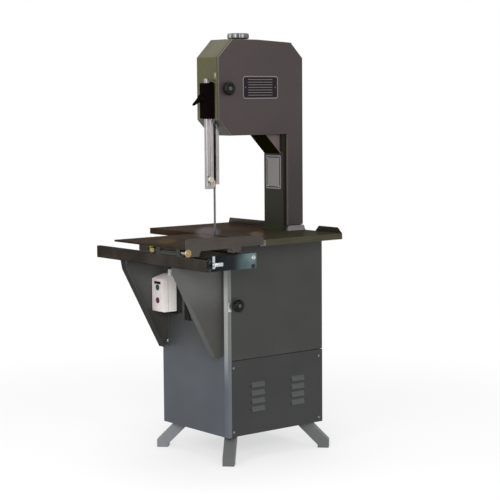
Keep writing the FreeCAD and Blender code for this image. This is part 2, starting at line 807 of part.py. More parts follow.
def carriage():
    low = carriageTop - carriagePlate
    plate = box(carriageLeft, carriageRight, carriageFront, carriageBack, low, carriageTop)
    plate = roundAlong(plate, 4.0, alongZ)
    edge = carriageTop - carriageLip
    t = carriagePlate
    lips = [
        box(carriageLeft, carriageLeft + t, carriageFront + 4, carriageBack - 4, edge, low),
        box(carriageLeft + 4, carriageRight - 4, carriageBack - t, carriageBack, edge, low),
    ]
    save("carriage_plate", join([plate] + lips))
    footZ = railTop + 14
    middleZ = footZ + 22
    end = carriageRight - fenceEndInset
    leftFoot, rightFoot = fenceFeet
    outline = [(leftFoot[0], footZ), (leftFoot[1], footZ), (leftFoot[1] + 8, middleZ - 2),
               (rightFoot[0] - 5, middleZ), (rightFoot[0], footZ + 4), (rightFoot[1], footZ + 4),
               (rightFoot[1] + 4, middleZ + 1), (end, middleZ + 2), (end, fenceTop - 20),
               (end - 5, fenceTop - 14), (end - 14, fenceTop - 11), (end - 58, fenceTop - 6),
               (carriageLeft + 6, fenceTop), (carriageLeft, fenceTop - 6)]
    save("carriage_fence", prismAlongY(outline, carriageFront - carriagePlate, carriageFront))
    bore = rollerAxleRadius + runningGap
    profile = [(bore, 0), (rollerRadius - 1, 0), (rollerRadius, 1), (rollerRadius, rollerWidth - 1),
               (rollerRadius - 1, rollerWidth), (bore, rollerWidth)]
    hangers = []
    for railX, side in ((outerRailX, "outer"), (innerRailX, "inner")):
        x0 = railX - rollerShift - rollerWidth / 2
        plateX = x0 + rollerWidth + movingGap
        capX = x0 - movingGap
        for y, end in ((rollerFrontY, "front"), (rollerRearY, "rear")):
            hangers.append(join([
                box(plateX, plateX + hangerPlate, y - hangerHalf, y + hangerHalf, rollerZ - 11, low),
                box(x0, plateX + hangerPlate, y - hangerHalf, y + hangerHalf, low - 3, low),
                rod(rollerAxleRadius, (capX - 4, y, rollerZ), alongX, plateX + hangerPlate - capX + 4),
                rod(6.5, (capX - 2, y, rollerZ), alongX, 2),
            ]))
            save("roller_" + side + "_" + end, turned(profile, (x0, y, rollerZ), alongX))
    pieces = [
        rod(sleeveRadius, (tieX, sleeveFront, sleeveZ), alongY, sleeveBack - sleeveFront),
        rod(tieRadius, (tieX, carriageFront, tieZ), alongY, tieBack - carriageFront),
        rod(tieRadius + 1.5, (tieX, sleeveFront - tieBlock - 32, tieZ), alongY, 27),
        rod(tieRadius + 4.5, (tieX, sleeveBack + tieBlock + 14, tieZ), alongY, 28),
    ]
    # the blocks stand against the inner face of the carriage's left lip
    blockLeft = carriageLeft + carriagePlate
    for y in (sleeveFront - tieBlock, sleeveBack):
        pieces.append(box(blockLeft, tieX + 12, y, y + tieBlock, sleeveZ - sleeveRadius, low))
    hangers.append(join(pieces))
    r = tieNutRadius
    nut = [(0, 0), (r, 0), (r, tieNutDepth - 2), (r - 2, tieNutDepth), (tieRadius, tieNutDepth),
           (tieRadius - 1, tieNutDepth + 3), (0, tieNutDepth + 3)]
    hangers.append(turned(nut, (tieX, carriageFront - carriagePlate, tieZ), Vector(0, -1, 0)))
    save("carriage_hangers", Part.makeCompound(hangers))


def bladeGuide():
    bar = box(barLeft, barRight, barBack - barWidth, barBack, guideBottom, barTop)
    save("guide_bar", roundAlong(bar, 2.0, alongZ))
    t = guardSheet
    top = clampBottom - 1
    rightTop = headBottom + guardRise
    guard = join([
        box(barRight, barRight + t, guardFront, guardBack, guideBottom, top),
        box(barRight, guardMouthLeft, guardFront, guardFront + t, guideBottom, top),
        box(barRight, guardRight, guardBack - t, guardBack, guideBottom, rightTop),
        box(guardRight - t, guardRight, guardFront, guardBack, guideBottom + 18, rightTop),
        box(guardMouthRight, guardRight, guardFront, guardFront + t, guideBottom + 18, rightTop),
        box(barLeft - 5, barRight, guardFront, barBack - barWidth, guideBottom, guideBottom + 12),
    ])
    save("blade_guard", guard)
    gap = movingGap + bladeThickness / 2
    padTop = guideBottom + 34
    inner = guardFront + t
    pads = [
        box(barRight + t, bladeX - gap, inner + 3, guardBack - t, guideBottom + 6, padTop),
        box(bladeX + gap, guardRight - t, inner + 3, guardBack - t, guideBottom + 20, padTop),
    ]
    pads.append(box(bladeX - gap, bladeX + gap, bladeBack + movingGap, guardBack - t,
                    guideBottom + 20, padTop))
    pinPlace = (barRight - guideDiscInset, guardFront, guideBottom + guideDiscRise)
    r = guideDiscRadius
    pads.append(turned([(0, 0), (r, 0), (r, 6), (r - 2, 8), (0, 8)], pinPlace, Vector(0, -1, 0)))
    save("guide_pads", Part.makeCompound(pads))
    slide = movingGap
    cheek = 8.0
    block = box(clampLeft, headLeft, guardFront - cheek, guardBack + cheek, clampBottom, clampTop)
    block = roundAlong(block, 5.0, alongY)
    pocket = box(barLeft - slide, barRight + slide, barBack - barWidth - slide, barBack + slide,
                 clampBottom - 1, clampTop + 1)
    passage = box(barRight, headLeft + 1, guardFront - 0.5, guardBack + 0.5, clampBottom - 1, clampTop + 1)
    divide = box(clampLeft + 20, headLeft - 10, guardFront - cheek - 1, guardBack + cheek + 1,
                 clampTop - 9, clampTop + 1)
    screwMiddle = barBack - barWidth / 2
    screwZ = clampBottom + clampScrewRise
    stud = rod(clampScrewRadius + runningGap, (clampLeft - 1, screwMiddle, screwZ), alongX, 20)
    save("guide_clamp", subtract(block, [pocket, passage, divide, stud]))
    screwLeft = clampLeft - 14
    screwLength = barLeft - movingGap - screwLeft
    screw = rod(clampScrewRadius, (screwLeft, screwMiddle, screwZ), alongX, screwLength)
    collar = rod(clampScrewRadius + 3, (clampLeft - movingGap - 3, screwMiddle, screwZ), alongX, 3)
    save("clamp_stud", join([screw, collar]))
    x0 = clampLeft - 15
    wingShape = ((-8, 5), (-2, 12), (12, 6), (46, -15), (50, -27), (42, -31), (4, -13), (-6, -7))
    wing = prismAlongX([(screwMiddle + y, screwZ + z) for y, z in wingShape], x0 - 5, x0 + 5)
    hub = rod(11.0, (x0 - 7, screwMiddle, screwZ), alongX, 14 - movingGap)
    lever = join([wing, hub]).cut(rod(clampScrewRadius, (screwLeft, screwMiddle, screwZ), alongX, 40))
    lever = lever.cut(collar)
    save("clamp_lever", lever)


def bandWheel(centreZ, boreRadius):
    rim = rod(wheelRadius, (wheelX, rimFront, centreZ), alongY, rimBack - rimFront)
    inside = wheelRadius - rimThickness
    rim = rim.cut(rod(inside, (wheelX, rimFront - 1, centreZ), alongY, rimBack - rimFront + 2))
    middle = (rimFront + rimBack) / 2
    web = rod(inside, (wheelX, middle - webThickness / 2, centreZ), alongY, webThickness)
    hub = rod(hubRadius, (wheelX, hubFront, centreZ), alongY, hubBack - hubFront)
    holes = []
    for step in range(lightHoles):
        hole = rod(lightHoleRadius, (wheelX, middle - webThickness, centreZ + lightHoleCircle), alongY,
                   2 * webThickness)
        hole.rotate(Vector(wheelX, 0, centreZ), alongY, 360 * step / lightHoles)
        holes.append(hole)
    web = subtract(web, holes)
    bore = rod(boreRadius, (wheelX, hubFront - 1, centreZ), alongY, hubBack - hubFront + 2)
    return join([rim, web, hub]).cut(bore)


def upperWheel():
    save("upper_wheel", bandWheel(upperWheelZ, axleRadius + runningGap))
    blockFront = screwY - 14
    blockBack = blockFront + blockDepth
    blockBottom = upperWheelZ - blockHeight / 2
    block = box(wheelX - blockHalf, wheelX + blockHalf, blockFront, blockBack,
                blockBottom, blockBottom + blockHeight)
    block = block.cut(rod(screwRadius + runningGap, (wheelX, screwY, blockBottom + 15), alongZ, blockHeight))
    axleFront = hubFront - movingGap
    collarFront = hubBack + movingGap
    axle = join([
        rod(axleRadius, (wheelX, axleFront, upperWheelZ), alongY, blockFront - axleFront),
        rod(collarRadius, (wheelX, axleFront - 6, upperWheelZ), alongY, 6),
        rod(collarRadius, (wheelX, collarFront, upperWheelZ), alongY, blockFront - collarFront),
    ])
    save("tension_block", join([block, axle]))
    side = blockHalf + movingGap
    ways = []
    for sign in (-1, 1):
        near = wheelX + sign * side
        far = wheelX + sign * (side + wayWidth)
        lip = wheelX + sign * (side - wayLip)
        ways.append(join([
            box(min(near, far), max(near, far), blockFront - wayLip, headBack - sheet, wayBottom, wayTop),
            box(min(lip, far), max(lip, far), blockFront - wayLip, blockFront - movingGap, wayBottom, wayTop),
        ]))
    ways.append(box(wheelX - 20, wheelX + 20, blockBack + movingGap, headBack - sheet, wayBottom, wayTop))
    bore = screwRadius + runningGap
    collar = screwRadius + 6
    rim = screwRadius + 11
    bushTop = sheet + handwheelGap - 2 * movingGap
    bush = [(bore, 0), (collar, 0), (collar, sheet), (rim, sheet), (rim, bushTop), (bore, bushTop)]
    ways.append(turned(bush, (wheelX, screwY, crownTop - sheet), alongZ))
    save("tension_ways", Part.makeCompound(ways))
    screw = rod(screwRadius, (wheelX, screwY, upperWheelZ - 5), alongZ, handwheelTop - 6 - upperWheelZ + 5)
    save("tension_screw", screw)
    low = handwheelBottom
    high = handwheelTop
    rim = handwheelRadius
    profile = [(screwRadius, low), (rim - 5, low), (rim, low + 5), (rim, high - 6), (rim - 6, high),
               (0, high), (0, high - 6), (screwRadius, high - 6)]
    wheel = turned(profile, (wheelX, screwY, 0), alongZ)
    scallops = []
    for step in range(scallopCount):
        notch = rod(scallopRadius, (wheelX + rim + 5, screwY, low - 1), alongZ, handwheelHeight + 2)
        notch.rotate(Vector(wheelX, screwY, 0), alongZ, 360 * step / scallopCount)
        scallops.append(notch)
    save("tension_handwheel", subtract(wheel, scallops))


def bandRegion(x0, z0, r0, x1, z1, r1, y0, y1):
    # the region inside a taut band round two circles
    dx = x1 - x0
    dz = z1 - z0
    distance = (dx * dx + dz * dz) ** 0.5
    ux = dx / distance
    uz = dz / distance
    lean = (r0 - r1) / distance
    spread = (1 - lean * lean) ** 0.5
    corners = []
    for cx, cz, radius, sign in ((x0, z0, r0, 1), (x1, z1, r1, 1), (x1, z1, r1, -1), (x0, z0, r0, -1)):
        acrossX = lean * ux - sign * spread * uz
        acrossZ = lean * uz + sign * spread * ux
        corners.append((cx + radius * acrossX, cz + radius * acrossZ))
    return join([
        prismAlongY(corners, y0, y1),
        rod(r0, (x0, y0, z0), alongY, y1 - y0),
        rod(r1, (x1, y0, z1), alongY, y1 - y0),
    ])


def sawBlade():
    outer = bandRegion(wheelX, upperWheelZ, bladeOuter, wheelX, lowerWheelZ, bladeOuter,
                       bladeFront, bladeBack)
    inner = bandRegion(wheelX, upperWheelZ, bladeInner, wheelX, lowerWheelZ, bladeInner,
                       bladeFront - 1, bladeBack + 1)
    save("saw_blade", outer.cut(inner))


def pulley(x, z, floor, boreRadius):
    half = beltWidth / 2 + movingGap
    rim = floor + beltDepth + 1
    edge = half + pulleyFlange
    profile = [(boreRadius, -edge), (rim, -edge), (rim, -half), (floor, -half), (floor, half),
               (rim, half), (rim, edge), (boreRadius, edge)]
    return turned(profile, (x, beltY, z), alongY)


def drive():
    wheel = bandWheel(lowerWheelZ, driveShaftRadius)
    save("lower_wheel", wheel)
    shaft = rod(driveShaftRadius, (wheelX, hubFront - 4, lowerWheelZ), alongY, beltY + 21 - hubFront + 4)
    save("drive_shaft", join([shaft, pulley(wheelX, lowerWheelZ, pulleyFloor, driveShaftRadius)]))
    shelfTop = lowerWheelZ - shelfDrop
    shelfFront = hubBack + 14
    shelfBack = beltY - 25
    inner = cabinetHalfWidth - sheet
    shelf = join([
        box(-inner, inner, shelfFront, shelfBack, shelfTop - shelfThickness, shelfTop),
        box(-inner, inner, shelfFront, shelfFront + shelfThickness, shelfTop - shelfLip, shelfTop),
        box(-inner, inner, shelfBack - shelfThickness, shelfBack, shelfTop - shelfLip, shelfTop),
    ])
    save("bearing_shelf", shelf)
    bearings = []
    for y in (shelfFront + 8, shelfBack - 8 - bearingWidth):
        back = y + bearingWidth
        footTop = shelfTop + bearingFoot
        housing = join([
            rod(bearingRadius, (wheelX, y, lowerWheelZ), alongY, bearingWidth),
            box(wheelX - bearingFootHalf, wheelX + bearingFootHalf, y, back, shelfTop, footTop),
            box(wheelX - bearingStandHalf, wheelX + bearingStandHalf, y, back, shelfTop, lowerWheelZ),
        ])
        bore = rod(driveShaftRadius + runningGap, (wheelX, y - 1, lowerWheelZ), alongY, bearingWidth + 2)
        bearings.append(housing.cut(bore))
    save("shaft_bearings", Part.makeCompound(bearings))
    base = cabinetBottom + sheet
    foot = motorFoot
    bodyBack = beltY - motorSetback
    bodyFront = bodyBack - motorLength
    bell = motorRadius - motorBellStep
    legs = []
    for side in (-1, 1):
        legX = motorX + side * motorLegMiddle
        legs.append(box(legX - motorLegHalf, legX + motorLegHalf, bodyFront + 20, bodyBack - 20,
                        base + foot, motorZ))
    body = join([
        rod(motorRadius, (motorX, bodyFront, motorZ), alongY, motorLength),
        rod(bell, (motorX, bodyFront - motorBellFront, motorZ), alongY, motorBellFront),
        rod(bell, (motorX, bodyBack, motorZ), alongY, motorBellBack),
        box(motorX - motorBoxHalf, motorX + motorBoxHalf, bodyFront + motorBoxFront,
            bodyBack - motorBoxBack, motorZ, motorZ + motorRadius + motorBoxRise),
    ] + legs)
    boreFront = bodyBack - motorShaftInside - 1
    boreLength = motorShaftInside + motorBellBack + 2
    bore = rod(motorShaftRadius + runningGap, (motorX, boreFront, motorZ), alongY, boreLength)
    body = body.cut(bore)
    plate = box(motorX - motorPlateHalf, motorX + motorPlateHalf, bodyFront - 10, bodyBack + 10,
                base, base + foot)
    save("motor", body.fuse(plate).removeSplitter())
    shaft = rod(motorShaftRadius, (motorX, bodyBack - motorShaftInside, motorZ), alongY, motorShaftLength)
    save("motor_pulley", join([shaft, pulley(motorX, motorZ, motorPulleyFloor, motorShaftRadius)]))
    inside = movingGap
    half = beltWidth / 2
    outer = bandRegion(wheelX, lowerWheelZ, pulleyFloor + inside + beltDepth, motorX, motorZ,
                       motorPulleyFloor + inside + beltDepth, beltY - half, beltY + half)
    hollow = bandRegion(wheelX, lowerWheelZ, pulleyFloor + inside, motorX, motorZ,
                        motorPulleyFloor + inside, beltY - half - 1, beltY + half + 1)
    save("drive_belt", outer.cut(hollow))


def lowerGuide():
    gap = movingGap + bladeThickness / 2
    base = cabinetTop
    left = box(bladeX - 26, bladeX - gap, bladeFront - 6, bladeBack, base, base + 11)
    right = box(bladeX + gap, tableLeft - 0.6, bladeFront - 6, bladeBack, base, base + 11)
    back = box(bladeX - 26, tableLeft - 0.6, bladeBack + movingGap, bladeBack + 8, base, base + 11)
    slots = [box(bladeX - gap - 1, bladeX + gap + 1, bladeBack, bladeBack + movingGap, base, base + 11)]
    sides = [box(bladeX - 26, bladeX - 2, bladeBack - 1, bladeBack + 8, base, base + 11),
             box(bladeX + 2, tableLeft - 0.6, bladeBack - 1, bladeBack + 8, base, base + 11)]
    save("lower_guide", subtract(join([left, back, right] + sides), slots))


def switchBox():
    body = prismAlongY([(switchLeft, switchBottom), (switchRight, switchBottom),
                        (switchRight, switchTop + switchRise), (switchLeft, switchTop)],
                       switchFront, switchBack)
    wall = switchWall
    hollow = prismAlongY([(switchLeft + wall, switchBottom + wall), (switchRight + 1, switchBottom + wall),
                          (switchRight + 1, switchTop + switchRise - wall - 1),
                          (switchLeft + wall, switchTop - wall - 1)], switchFront + wall, switchBack - wall)
    body = roundAlong(body, 3.0, alongX.cross(alongZ)).cut(hollow)
    strip = box(switchLeft - 1, switchLeft + 0.8, switchFront + 22, switchFront + 62,
                switchTop - 20, switchTop - 11)
    middle = (switchFront + switchBack) / 2
    holes = [strip]
    for z in (startZ, stopZ):
        holes.append(rod(buttonRadius + movingGap, (switchLeft - 1, middle, z), alongX, 10))
    seat = (glandX, glandY, switchTop + switchRise * (glandX - switchLeft) / switchDepth - glandSeat)
    holes.append(rod(glandBody, seat, alongZ, 30))
    save("switch_box", subtract(body, holes))
    for name, z in (("start_button", startZ), ("stop_button", stopZ)):
        dome = [(0, 0), (buttonRadius, 0), (buttonRadius, 13), (buttonRadius - 1.5, 14.5), (0, 15)]
        cap = turned(dome, (switchLeft + 10, middle, z), Vector(-1, 0, 0))
        flange = rod(buttonRadius + 3, (switchLeft + wall + movingGap, middle, z), alongX, 3)
        save(name, cap.fuse(flange).removeSplitter())
    profile = [(glandBore, 0), (glandBody, 0), (glandBody, 9), (glandNut, 9), (glandNut, 17),
               (glandBody + 0.5, 18), (glandBody + 0.5, 30), (glandBore + 2, 34), (glandBore, 34)]
    wallX = -cabinetHalfWidth
    nut = wallGlandNut
    wallProfile = [(glandBore, 0), (nut, 0), (nut, 8), (nut - 1, 9), (nut - 3, 9), (nut - 3, 15),
                   (nut - 4, 17), (glandBore, 17)]
    wallGland = turned(wallProfile, (wallX, wallGlandY, wallGlandZ), Vector(-1, 0, 0))
    save("cable_glands", Part.makeCompound([turned(profile, seat, alongZ), wallGland]))
    armFront = switchFront - switchArmReach
    armBottom = switchBottom - 32
    bracket = join([
        box(switchRight, wallX, switchFront - 9, switchFront + 59, switchBottom - 12, switchTop + 10),
        box(switchRight, wallX, armFront, switchFront - 9, switchBottom - 5, switchTop - 6),
        box(switchRight, wallX, armFront, armFront + switchArmWidth, armBottom, switchTop - 6),
        prismAlongX([(switchFront - switchToe, armBottom), (armFront, armBottom),
                     (armFront, armBottom + switchToeRise)], switchRight, wallX),
    ])
    save("switch_bracket", bracket)


os.makedirs("parts", exist_ok=True)
cabinet()
legs()
latch("cabinet_door", doorKnobX, doorKnobZ, cabinetFront, doorKnobRadius,
      cabinetFront + panelDepth + panelGap + sheet + 1, 36.0)
louvrePanel()
latchKeepers()
table()
headAndColumn()
latch("head_door", headKnobX, headKnobZ, coverFront, headKnobRadius, frameFront + sheet + 1, 34.0)
rails()
carriage()
bladeGuide()
upperWheel()
sawBlade()
drive()
lowerGuide()
switchBox()
save("door_hinges", Part.makeCompound(cabinetDoor() + headDoor()))
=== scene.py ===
import json
import math

import bmesh
import bpy
from mathutils import Matrix, Vector


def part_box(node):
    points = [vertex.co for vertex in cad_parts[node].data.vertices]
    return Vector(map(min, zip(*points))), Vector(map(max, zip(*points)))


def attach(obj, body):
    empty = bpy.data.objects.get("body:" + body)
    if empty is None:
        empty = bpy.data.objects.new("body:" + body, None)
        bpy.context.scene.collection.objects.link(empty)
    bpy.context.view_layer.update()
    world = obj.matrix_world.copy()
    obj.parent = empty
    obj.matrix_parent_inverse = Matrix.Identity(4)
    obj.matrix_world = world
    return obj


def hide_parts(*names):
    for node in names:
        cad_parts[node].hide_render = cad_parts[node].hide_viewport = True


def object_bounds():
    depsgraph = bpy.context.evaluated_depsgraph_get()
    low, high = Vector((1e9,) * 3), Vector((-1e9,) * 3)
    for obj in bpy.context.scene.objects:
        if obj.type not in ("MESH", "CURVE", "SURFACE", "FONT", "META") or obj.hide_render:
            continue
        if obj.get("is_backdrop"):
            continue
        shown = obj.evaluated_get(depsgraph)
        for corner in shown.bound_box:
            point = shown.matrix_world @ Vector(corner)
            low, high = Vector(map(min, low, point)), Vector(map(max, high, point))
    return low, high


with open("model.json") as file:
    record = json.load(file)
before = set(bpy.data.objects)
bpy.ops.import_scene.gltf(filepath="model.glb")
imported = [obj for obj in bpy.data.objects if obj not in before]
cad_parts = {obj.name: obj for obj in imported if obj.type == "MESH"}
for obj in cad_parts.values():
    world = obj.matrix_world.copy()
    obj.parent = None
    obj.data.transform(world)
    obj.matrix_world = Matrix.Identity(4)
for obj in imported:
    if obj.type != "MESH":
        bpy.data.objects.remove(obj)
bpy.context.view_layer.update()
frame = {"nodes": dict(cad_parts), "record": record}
bodyOf = {}
for body, members in frame["record"]["behaviour"]["bodies"].items():
    for member in members:
        bodyOf[member] = body
scene = bpy.context.scene
print("frame loaded:", len(bodyOf), "nodes")

# a long lens at the front left, a little above the table
cameraView = {"position": (-3.8552, -5.0539, 1.5071), "heading": -38.721, "tilt": -5.763, "roll": -0.439,
              "lens": 108.73, "sensor": 36, "near": 0.1, "far": 100}
cameraData = bpy.data.cameras.new("camera")
cameraData.lens = cameraView["lens"]
cameraData.sensor_width = cameraView["sensor"]
cameraData.clip_start = cameraView["near"]
cameraData.clip_end = cameraView["far"]
camera = bpy.data.objects.new("camera", cameraData)
turn = Matrix.Rotation(math.radians(cameraView["heading"]), 4, "Z")
turn = turn @ Matrix.Rotation(math.radians(90 + cameraView["tilt"]), 4, "X")
turn = turn @ Matrix.Rotation(math.radians(cameraView["roll"]), 4, "Z")
camera.matrix_world = Matrix.Translation(cameraView["position"]) @ turn
scene.collection.objects.link(camera)
scene.camera = camera

# the effects that several finishes share: noises as (detail, roughness), spans as (from, to)
effectValues = {"clouds": (4.0, 0.6), "cloudSpan": (0.3, 0.7), "grain": (2.0, 0.5),
                "wearSamples": 4, "wearSpan": (0.96, 0.72), "chipScale": 90.0, "chips": (5.0, 0.7),
                "chipSpan": (0.42, 0.62), "dustSlope": (0.3, 0.95), "dustScale": 14.0,
                "dustNoise": (6.0, 0.65), "dustSpan": (0.3, 0.75), "dustLeast": 0.2,
                "lines": (4.0, 0.7), "lineSpan": (0.35, 0.65)}


def startGroup(name, inputs, outputs):
    group = bpy.data.node_groups.new(name, "ShaderNodeTree")
    for label, kind, value in inputs:
        socket = group.interface.new_socket(label, in_out="INPUT", socket_type=kind)
        if value is not None:
            socket.default_value = value
    for label, kind in outputs:
        group.interface.new_socket(label, in_out="OUTPUT", socket_type=kind)
    return group, group.nodes.new("NodeGroupInput"), group.nodes.new("NodeGroupOutput")


def addNode(tree, kind, settings=None, **values):
    node = tree.nodes.new(kind)
    for key, value in (settings or {}).items():
        setattr(node, key, value)
    for key, value in values.items():
        node.inputs[key].default_value = value
    return node


def mathNode(tree, operation, first, second=None):
    node = addNode(tree, "ShaderNodeMath", {"operation": operation})
    for index, value in enumerate((first, second)):
        if value is None:
            continue
        if isinstance(value, (int, float)):
            node.inputs[index].default_value = value
        else:
            tree.links.new(value, node.inputs[index])
    return node.outputs[0]


def noiseNode(tree, vector, scale, detail=3.0, rough=0.55):
    node = addNode(tree, "ShaderNodeTexNoise", None, Detail=detail, Roughness=rough)
    tree.links.new(vector, node.inputs["Vector"])
    if isinstance(scale, (int, float)):
        node.inputs["Scale"].default_value = scale
    else:
        tree.links.new(scale, node.inputs["Scale"])
    return node.outputs["Fac"]


def rangeNode(tree, value, low, high, newLow, newHigh):
    node = addNode(tree, "ShaderNodeMapRange", {"interpolation_type": "SMOOTHSTEP"})
    node.inputs["From Min"].default_value = low
    node.inputs["From Max"].default_value = high
    tree.links.new(value, node.inputs["Value"])
    for label, item in (("To Min", newLow), ("To Max", newHigh)):
        if isinstance(item, (int, float)):
            node.inputs[label].default_value = item
        else:
            tree.links.new(item, node.inputs[label])
    return node.outputs["Result"]


# cloudTone: slow drift of brightness over a surface, as on sprayed or rolled sheet
cloudTone, start, end = startGroup("cloudTone", [("Vector", "NodeSocketVector", None),
                                                 ("Scale", "NodeSocketFloat", 4.0),
                                                 ("Amount", "NodeSocketFloat", 0.1)],
                                   [("Tone", "NodeSocketFloat")])
clouds = noiseNode(cloudTone, start.outputs["Vector"], start.outputs["Scale"], *effectValues["clouds"])
below = mathNode(cloudTone, "SUBTRACT", 1.0, start.outputs["Amount"])
above = mathNode(cloudTone, "ADD", 1.0, start.outputs["Amount"])
clouds = rangeNode(cloudTone, clouds, *effectValues["cloudSpan"], below, above)
cloudTone.links.new(clouds, end.inputs["Tone"])

# fineGrain: the small bumps of sprayed paint, moulded plastic or a casting
fineGrain, start, end = startGroup("fineGrain", [("Vector", "NodeSocketVector", None),
                                                 ("Scale", "NodeSocketFloat", 500.0)],
                                   [("Height", "NodeSocketFloat")])
bumps = noiseNode(fineGrain, start.outputs["Vector"], start.outputs["Scale"], *effectValues["grain"])
fineGrain.links.new(bumps, end.inputs["Height"])

# edgeWear: where a rounded normal leaves the face's own, broken up by a noise
edgeWear, start, end = startGroup("edgeWear", [("Vector", "NodeSocketVector", None),
                                               ("Radius", "NodeSocketFloat", 0.0015),
                                               ("Amount", "NodeSocketFloat", 0.6)],
                                  [("Mask", "NodeSocketFloat")])
rounded = addNode(edgeWear, "ShaderNodeBevel", {"samples": effectValues["wearSamples"]})
edgeWear.links.new(start.outputs["Radius"], rounded.inputs["Radius"])
surface = addNode(edgeWear, "ShaderNodeNewGeometry")
facing = addNode(edgeWear, "ShaderNodeVectorMath", {"operation": "DOT_PRODUCT"})
edgeWear.links.new(rounded.outputs["Normal"], facing.inputs[0])
edgeWear.links.new(surface.outputs["Normal"], facing.inputs[1])
edge = rangeNode(edgeWear, facing.outputs["Value"], *effectValues["wearSpan"], 0.0, 1.0)
chips = noiseNode(edgeWear, start.outputs["Vector"], effectValues["chipScale"], *effectValues["chips"])
chips = rangeNode(edgeWear, chips, *effectValues["chipSpan"], 0.0, 1.0)
worn = mathNode(edgeWear, "MULTIPLY", mathNode(edgeWear, "MULTIPLY", edge, chips), start.outputs["Amount"])
edgeWear.links.new(worn, end.inputs["Mask"])

# restingDust: a thin film on faces that look up
restingDust, start, end = startGroup("restingDust", [("Vector", "NodeSocketVector", None),
                                                     ("Amount", "NodeSocketFloat", 0.2)],
                                     [("Mask", "NodeSocketFloat")])
surface = addNode(restingDust, "ShaderNodeNewGeometry")
axes = addNode(restingDust, "ShaderNodeSeparateXYZ")
restingDust.links.new(surface.outputs["Normal"], axes.inputs[0])
upward = rangeNode(restingDust, axes.outputs["Z"], *effectValues["dustSlope"], 0.0, 1.0)
blotches = noiseNode(restingDust, start.outputs["Vector"], effectValues["dustScale"],
                     *effectValues["dustNoise"])
blotches = rangeNode(restingDust, blotches, *effectValues["dustSpan"], effectValues["dustLeast"], 1.0)
film = mathNode(restingDust, "MULTIPLY", mathNode(restingDust, "MULTIPLY", upward, blotches),
                start.outputs["Amount"])
restingDust.links.new(film, end.inputs["Mask"])

# brushLines: long fine scratches along one way
brushLines, start, end = startGroup("brushLines", [("Vector", "NodeSocketVector", None),
                                                   ("Scale", "NodeSocketFloat", 260.0)],
                                    [("Height", "NodeSocketFloat"), ("Streak", "NodeSocketFloat")])
lines = noiseNode(brushLines, start.outputs["Vector"], start.outputs["Scale"], *effectValues["lines"])
brushLines.links.new(lines, end.inputs["Height"])
brushLines.links.new(rangeNode(brushLines, lines, *effectValues["lineSpan"], 0.0, 1.0), end.inputs["Streak"])


def placeGroup(tree, group, vector, **values):
    node = tree.nodes.new("ShaderNodeGroup")
    node.node_tree = group
    tree.links.new(vector, node.inputs["Vector"])
    for key, value in values.items():
        node.inputs[key].default_value = value
    return node


def mixColour(tree, mask, first, second):
    node = addNode(tree, "ShaderNodeMix", {"data_type": "RGBA"})
    if isinstance(mask, (int, float)):
        node.inputs[0].default_value = mask
    else:
        tree.links.new(mask, node.inputs[0])
    for index, item in ((6, first), (7, second)):
        if isinstance(item, tuple):
            node.inputs[index].default_value = (*item, 1.0)
        else:
            tree.links.new(item, node.inputs[index])
    return node.outputs[2]


def toned(tree, colour, tone):
    node = addNode(tree, "ShaderNodeMix", {"data_type": "RGBA", "blend_type": "MULTIPLY"})
    node.inputs[0].default_value = 1.0
    if isinstance(colour, tuple):
        node.inputs[6].default_value = (*colour, 1.0)
    else:
        tree.links.new(colour, node.inputs[6])
    grey = addNode(tree, "ShaderNodeCombineColor")
    for channel in range(3):
        tree.links.new(tone, grey.inputs[channel])
    tree.links.new(grey.outputs[0], node.inputs[7])
    return node.outputs[2]


def newMaterial(name, stretch=(1, 1, 1)):
    material = bpy.data.materials.new(name)
    material.use_nodes = True
    tree = material.node_tree
    place = addNode(tree, "ShaderNodeTexCoord")
    mapping = addNode(tree, "ShaderNodeMapping")
    mapping.inputs["Scale"].default_value = stretch
    tree.links.new(place.outputs["Object"], mapping.inputs["Vector"])
    return material, tree, tree.nodes["Principled BSDF"], place.outputs["Object"], mapping.outputs["Vector"]


def bumpOn(tree, shader, height, distance, strength=0.5):
    bump = addNode(tree, "ShaderNodeBump", None, Strength=strength, Distance=distance)
    tree.links.new(height, bump.inputs["Height"])
    tree.links.new(bump.outputs["Normal"], shader.inputs["Normal"])


def makePaint(name, values):
    material, tree, shader, point, _ = newMaterial(name)
    axes = addNode(tree, "ShaderNodeSeparateXYZ")
    tree.links.new(point, axes.inputs[0])
    raised = rangeNode(tree, axes.outputs["Z"], values["lowEnd"],
                       values["lowStart"] + values["lowRoom"], 0.0, 1.0)
    tone = placeGroup(tree, cloudTone, point, Scale=values["cloudScale"], Amount=values["cloud"])
    worn = placeGroup(tree, edgeWear, point, Radius=values["wearWidth"], Amount=values["wear"])
    dust = placeGroup(tree, restingDust, point, Amount=values["dust"])
    grain = placeGroup(tree, fineGrain, point, Scale=values["grainScale"])
    colour = mixColour(tree, raised, values["low"], values["colour"])
    colour = toned(tree, colour, tone.outputs["Tone"])
    colour = mixColour(tree, worn.outputs["Mask"], colour, values["bare"])
    colour = mixColour(tree, dust.outputs["Mask"], colour, values["dustColour"])
    tree.links.new(colour, shader.inputs["Base Color"])
    rough = rangeNode(tree, tone.outputs["Tone"], 1 - values["cloud"], 1 + values["cloud"],
                      values["rough"] + values["roughSpread"], values["rough"] - values["roughSpread"])
    tree.links.new(rough, shader.inputs["Roughness"])
    shader.inputs["Specular IOR Level"].default_value = values["gloss"]
    bumpOn(tree, shader, grain.outputs["Height"], values["grainDepth"], values["grainStrength"])
    return material


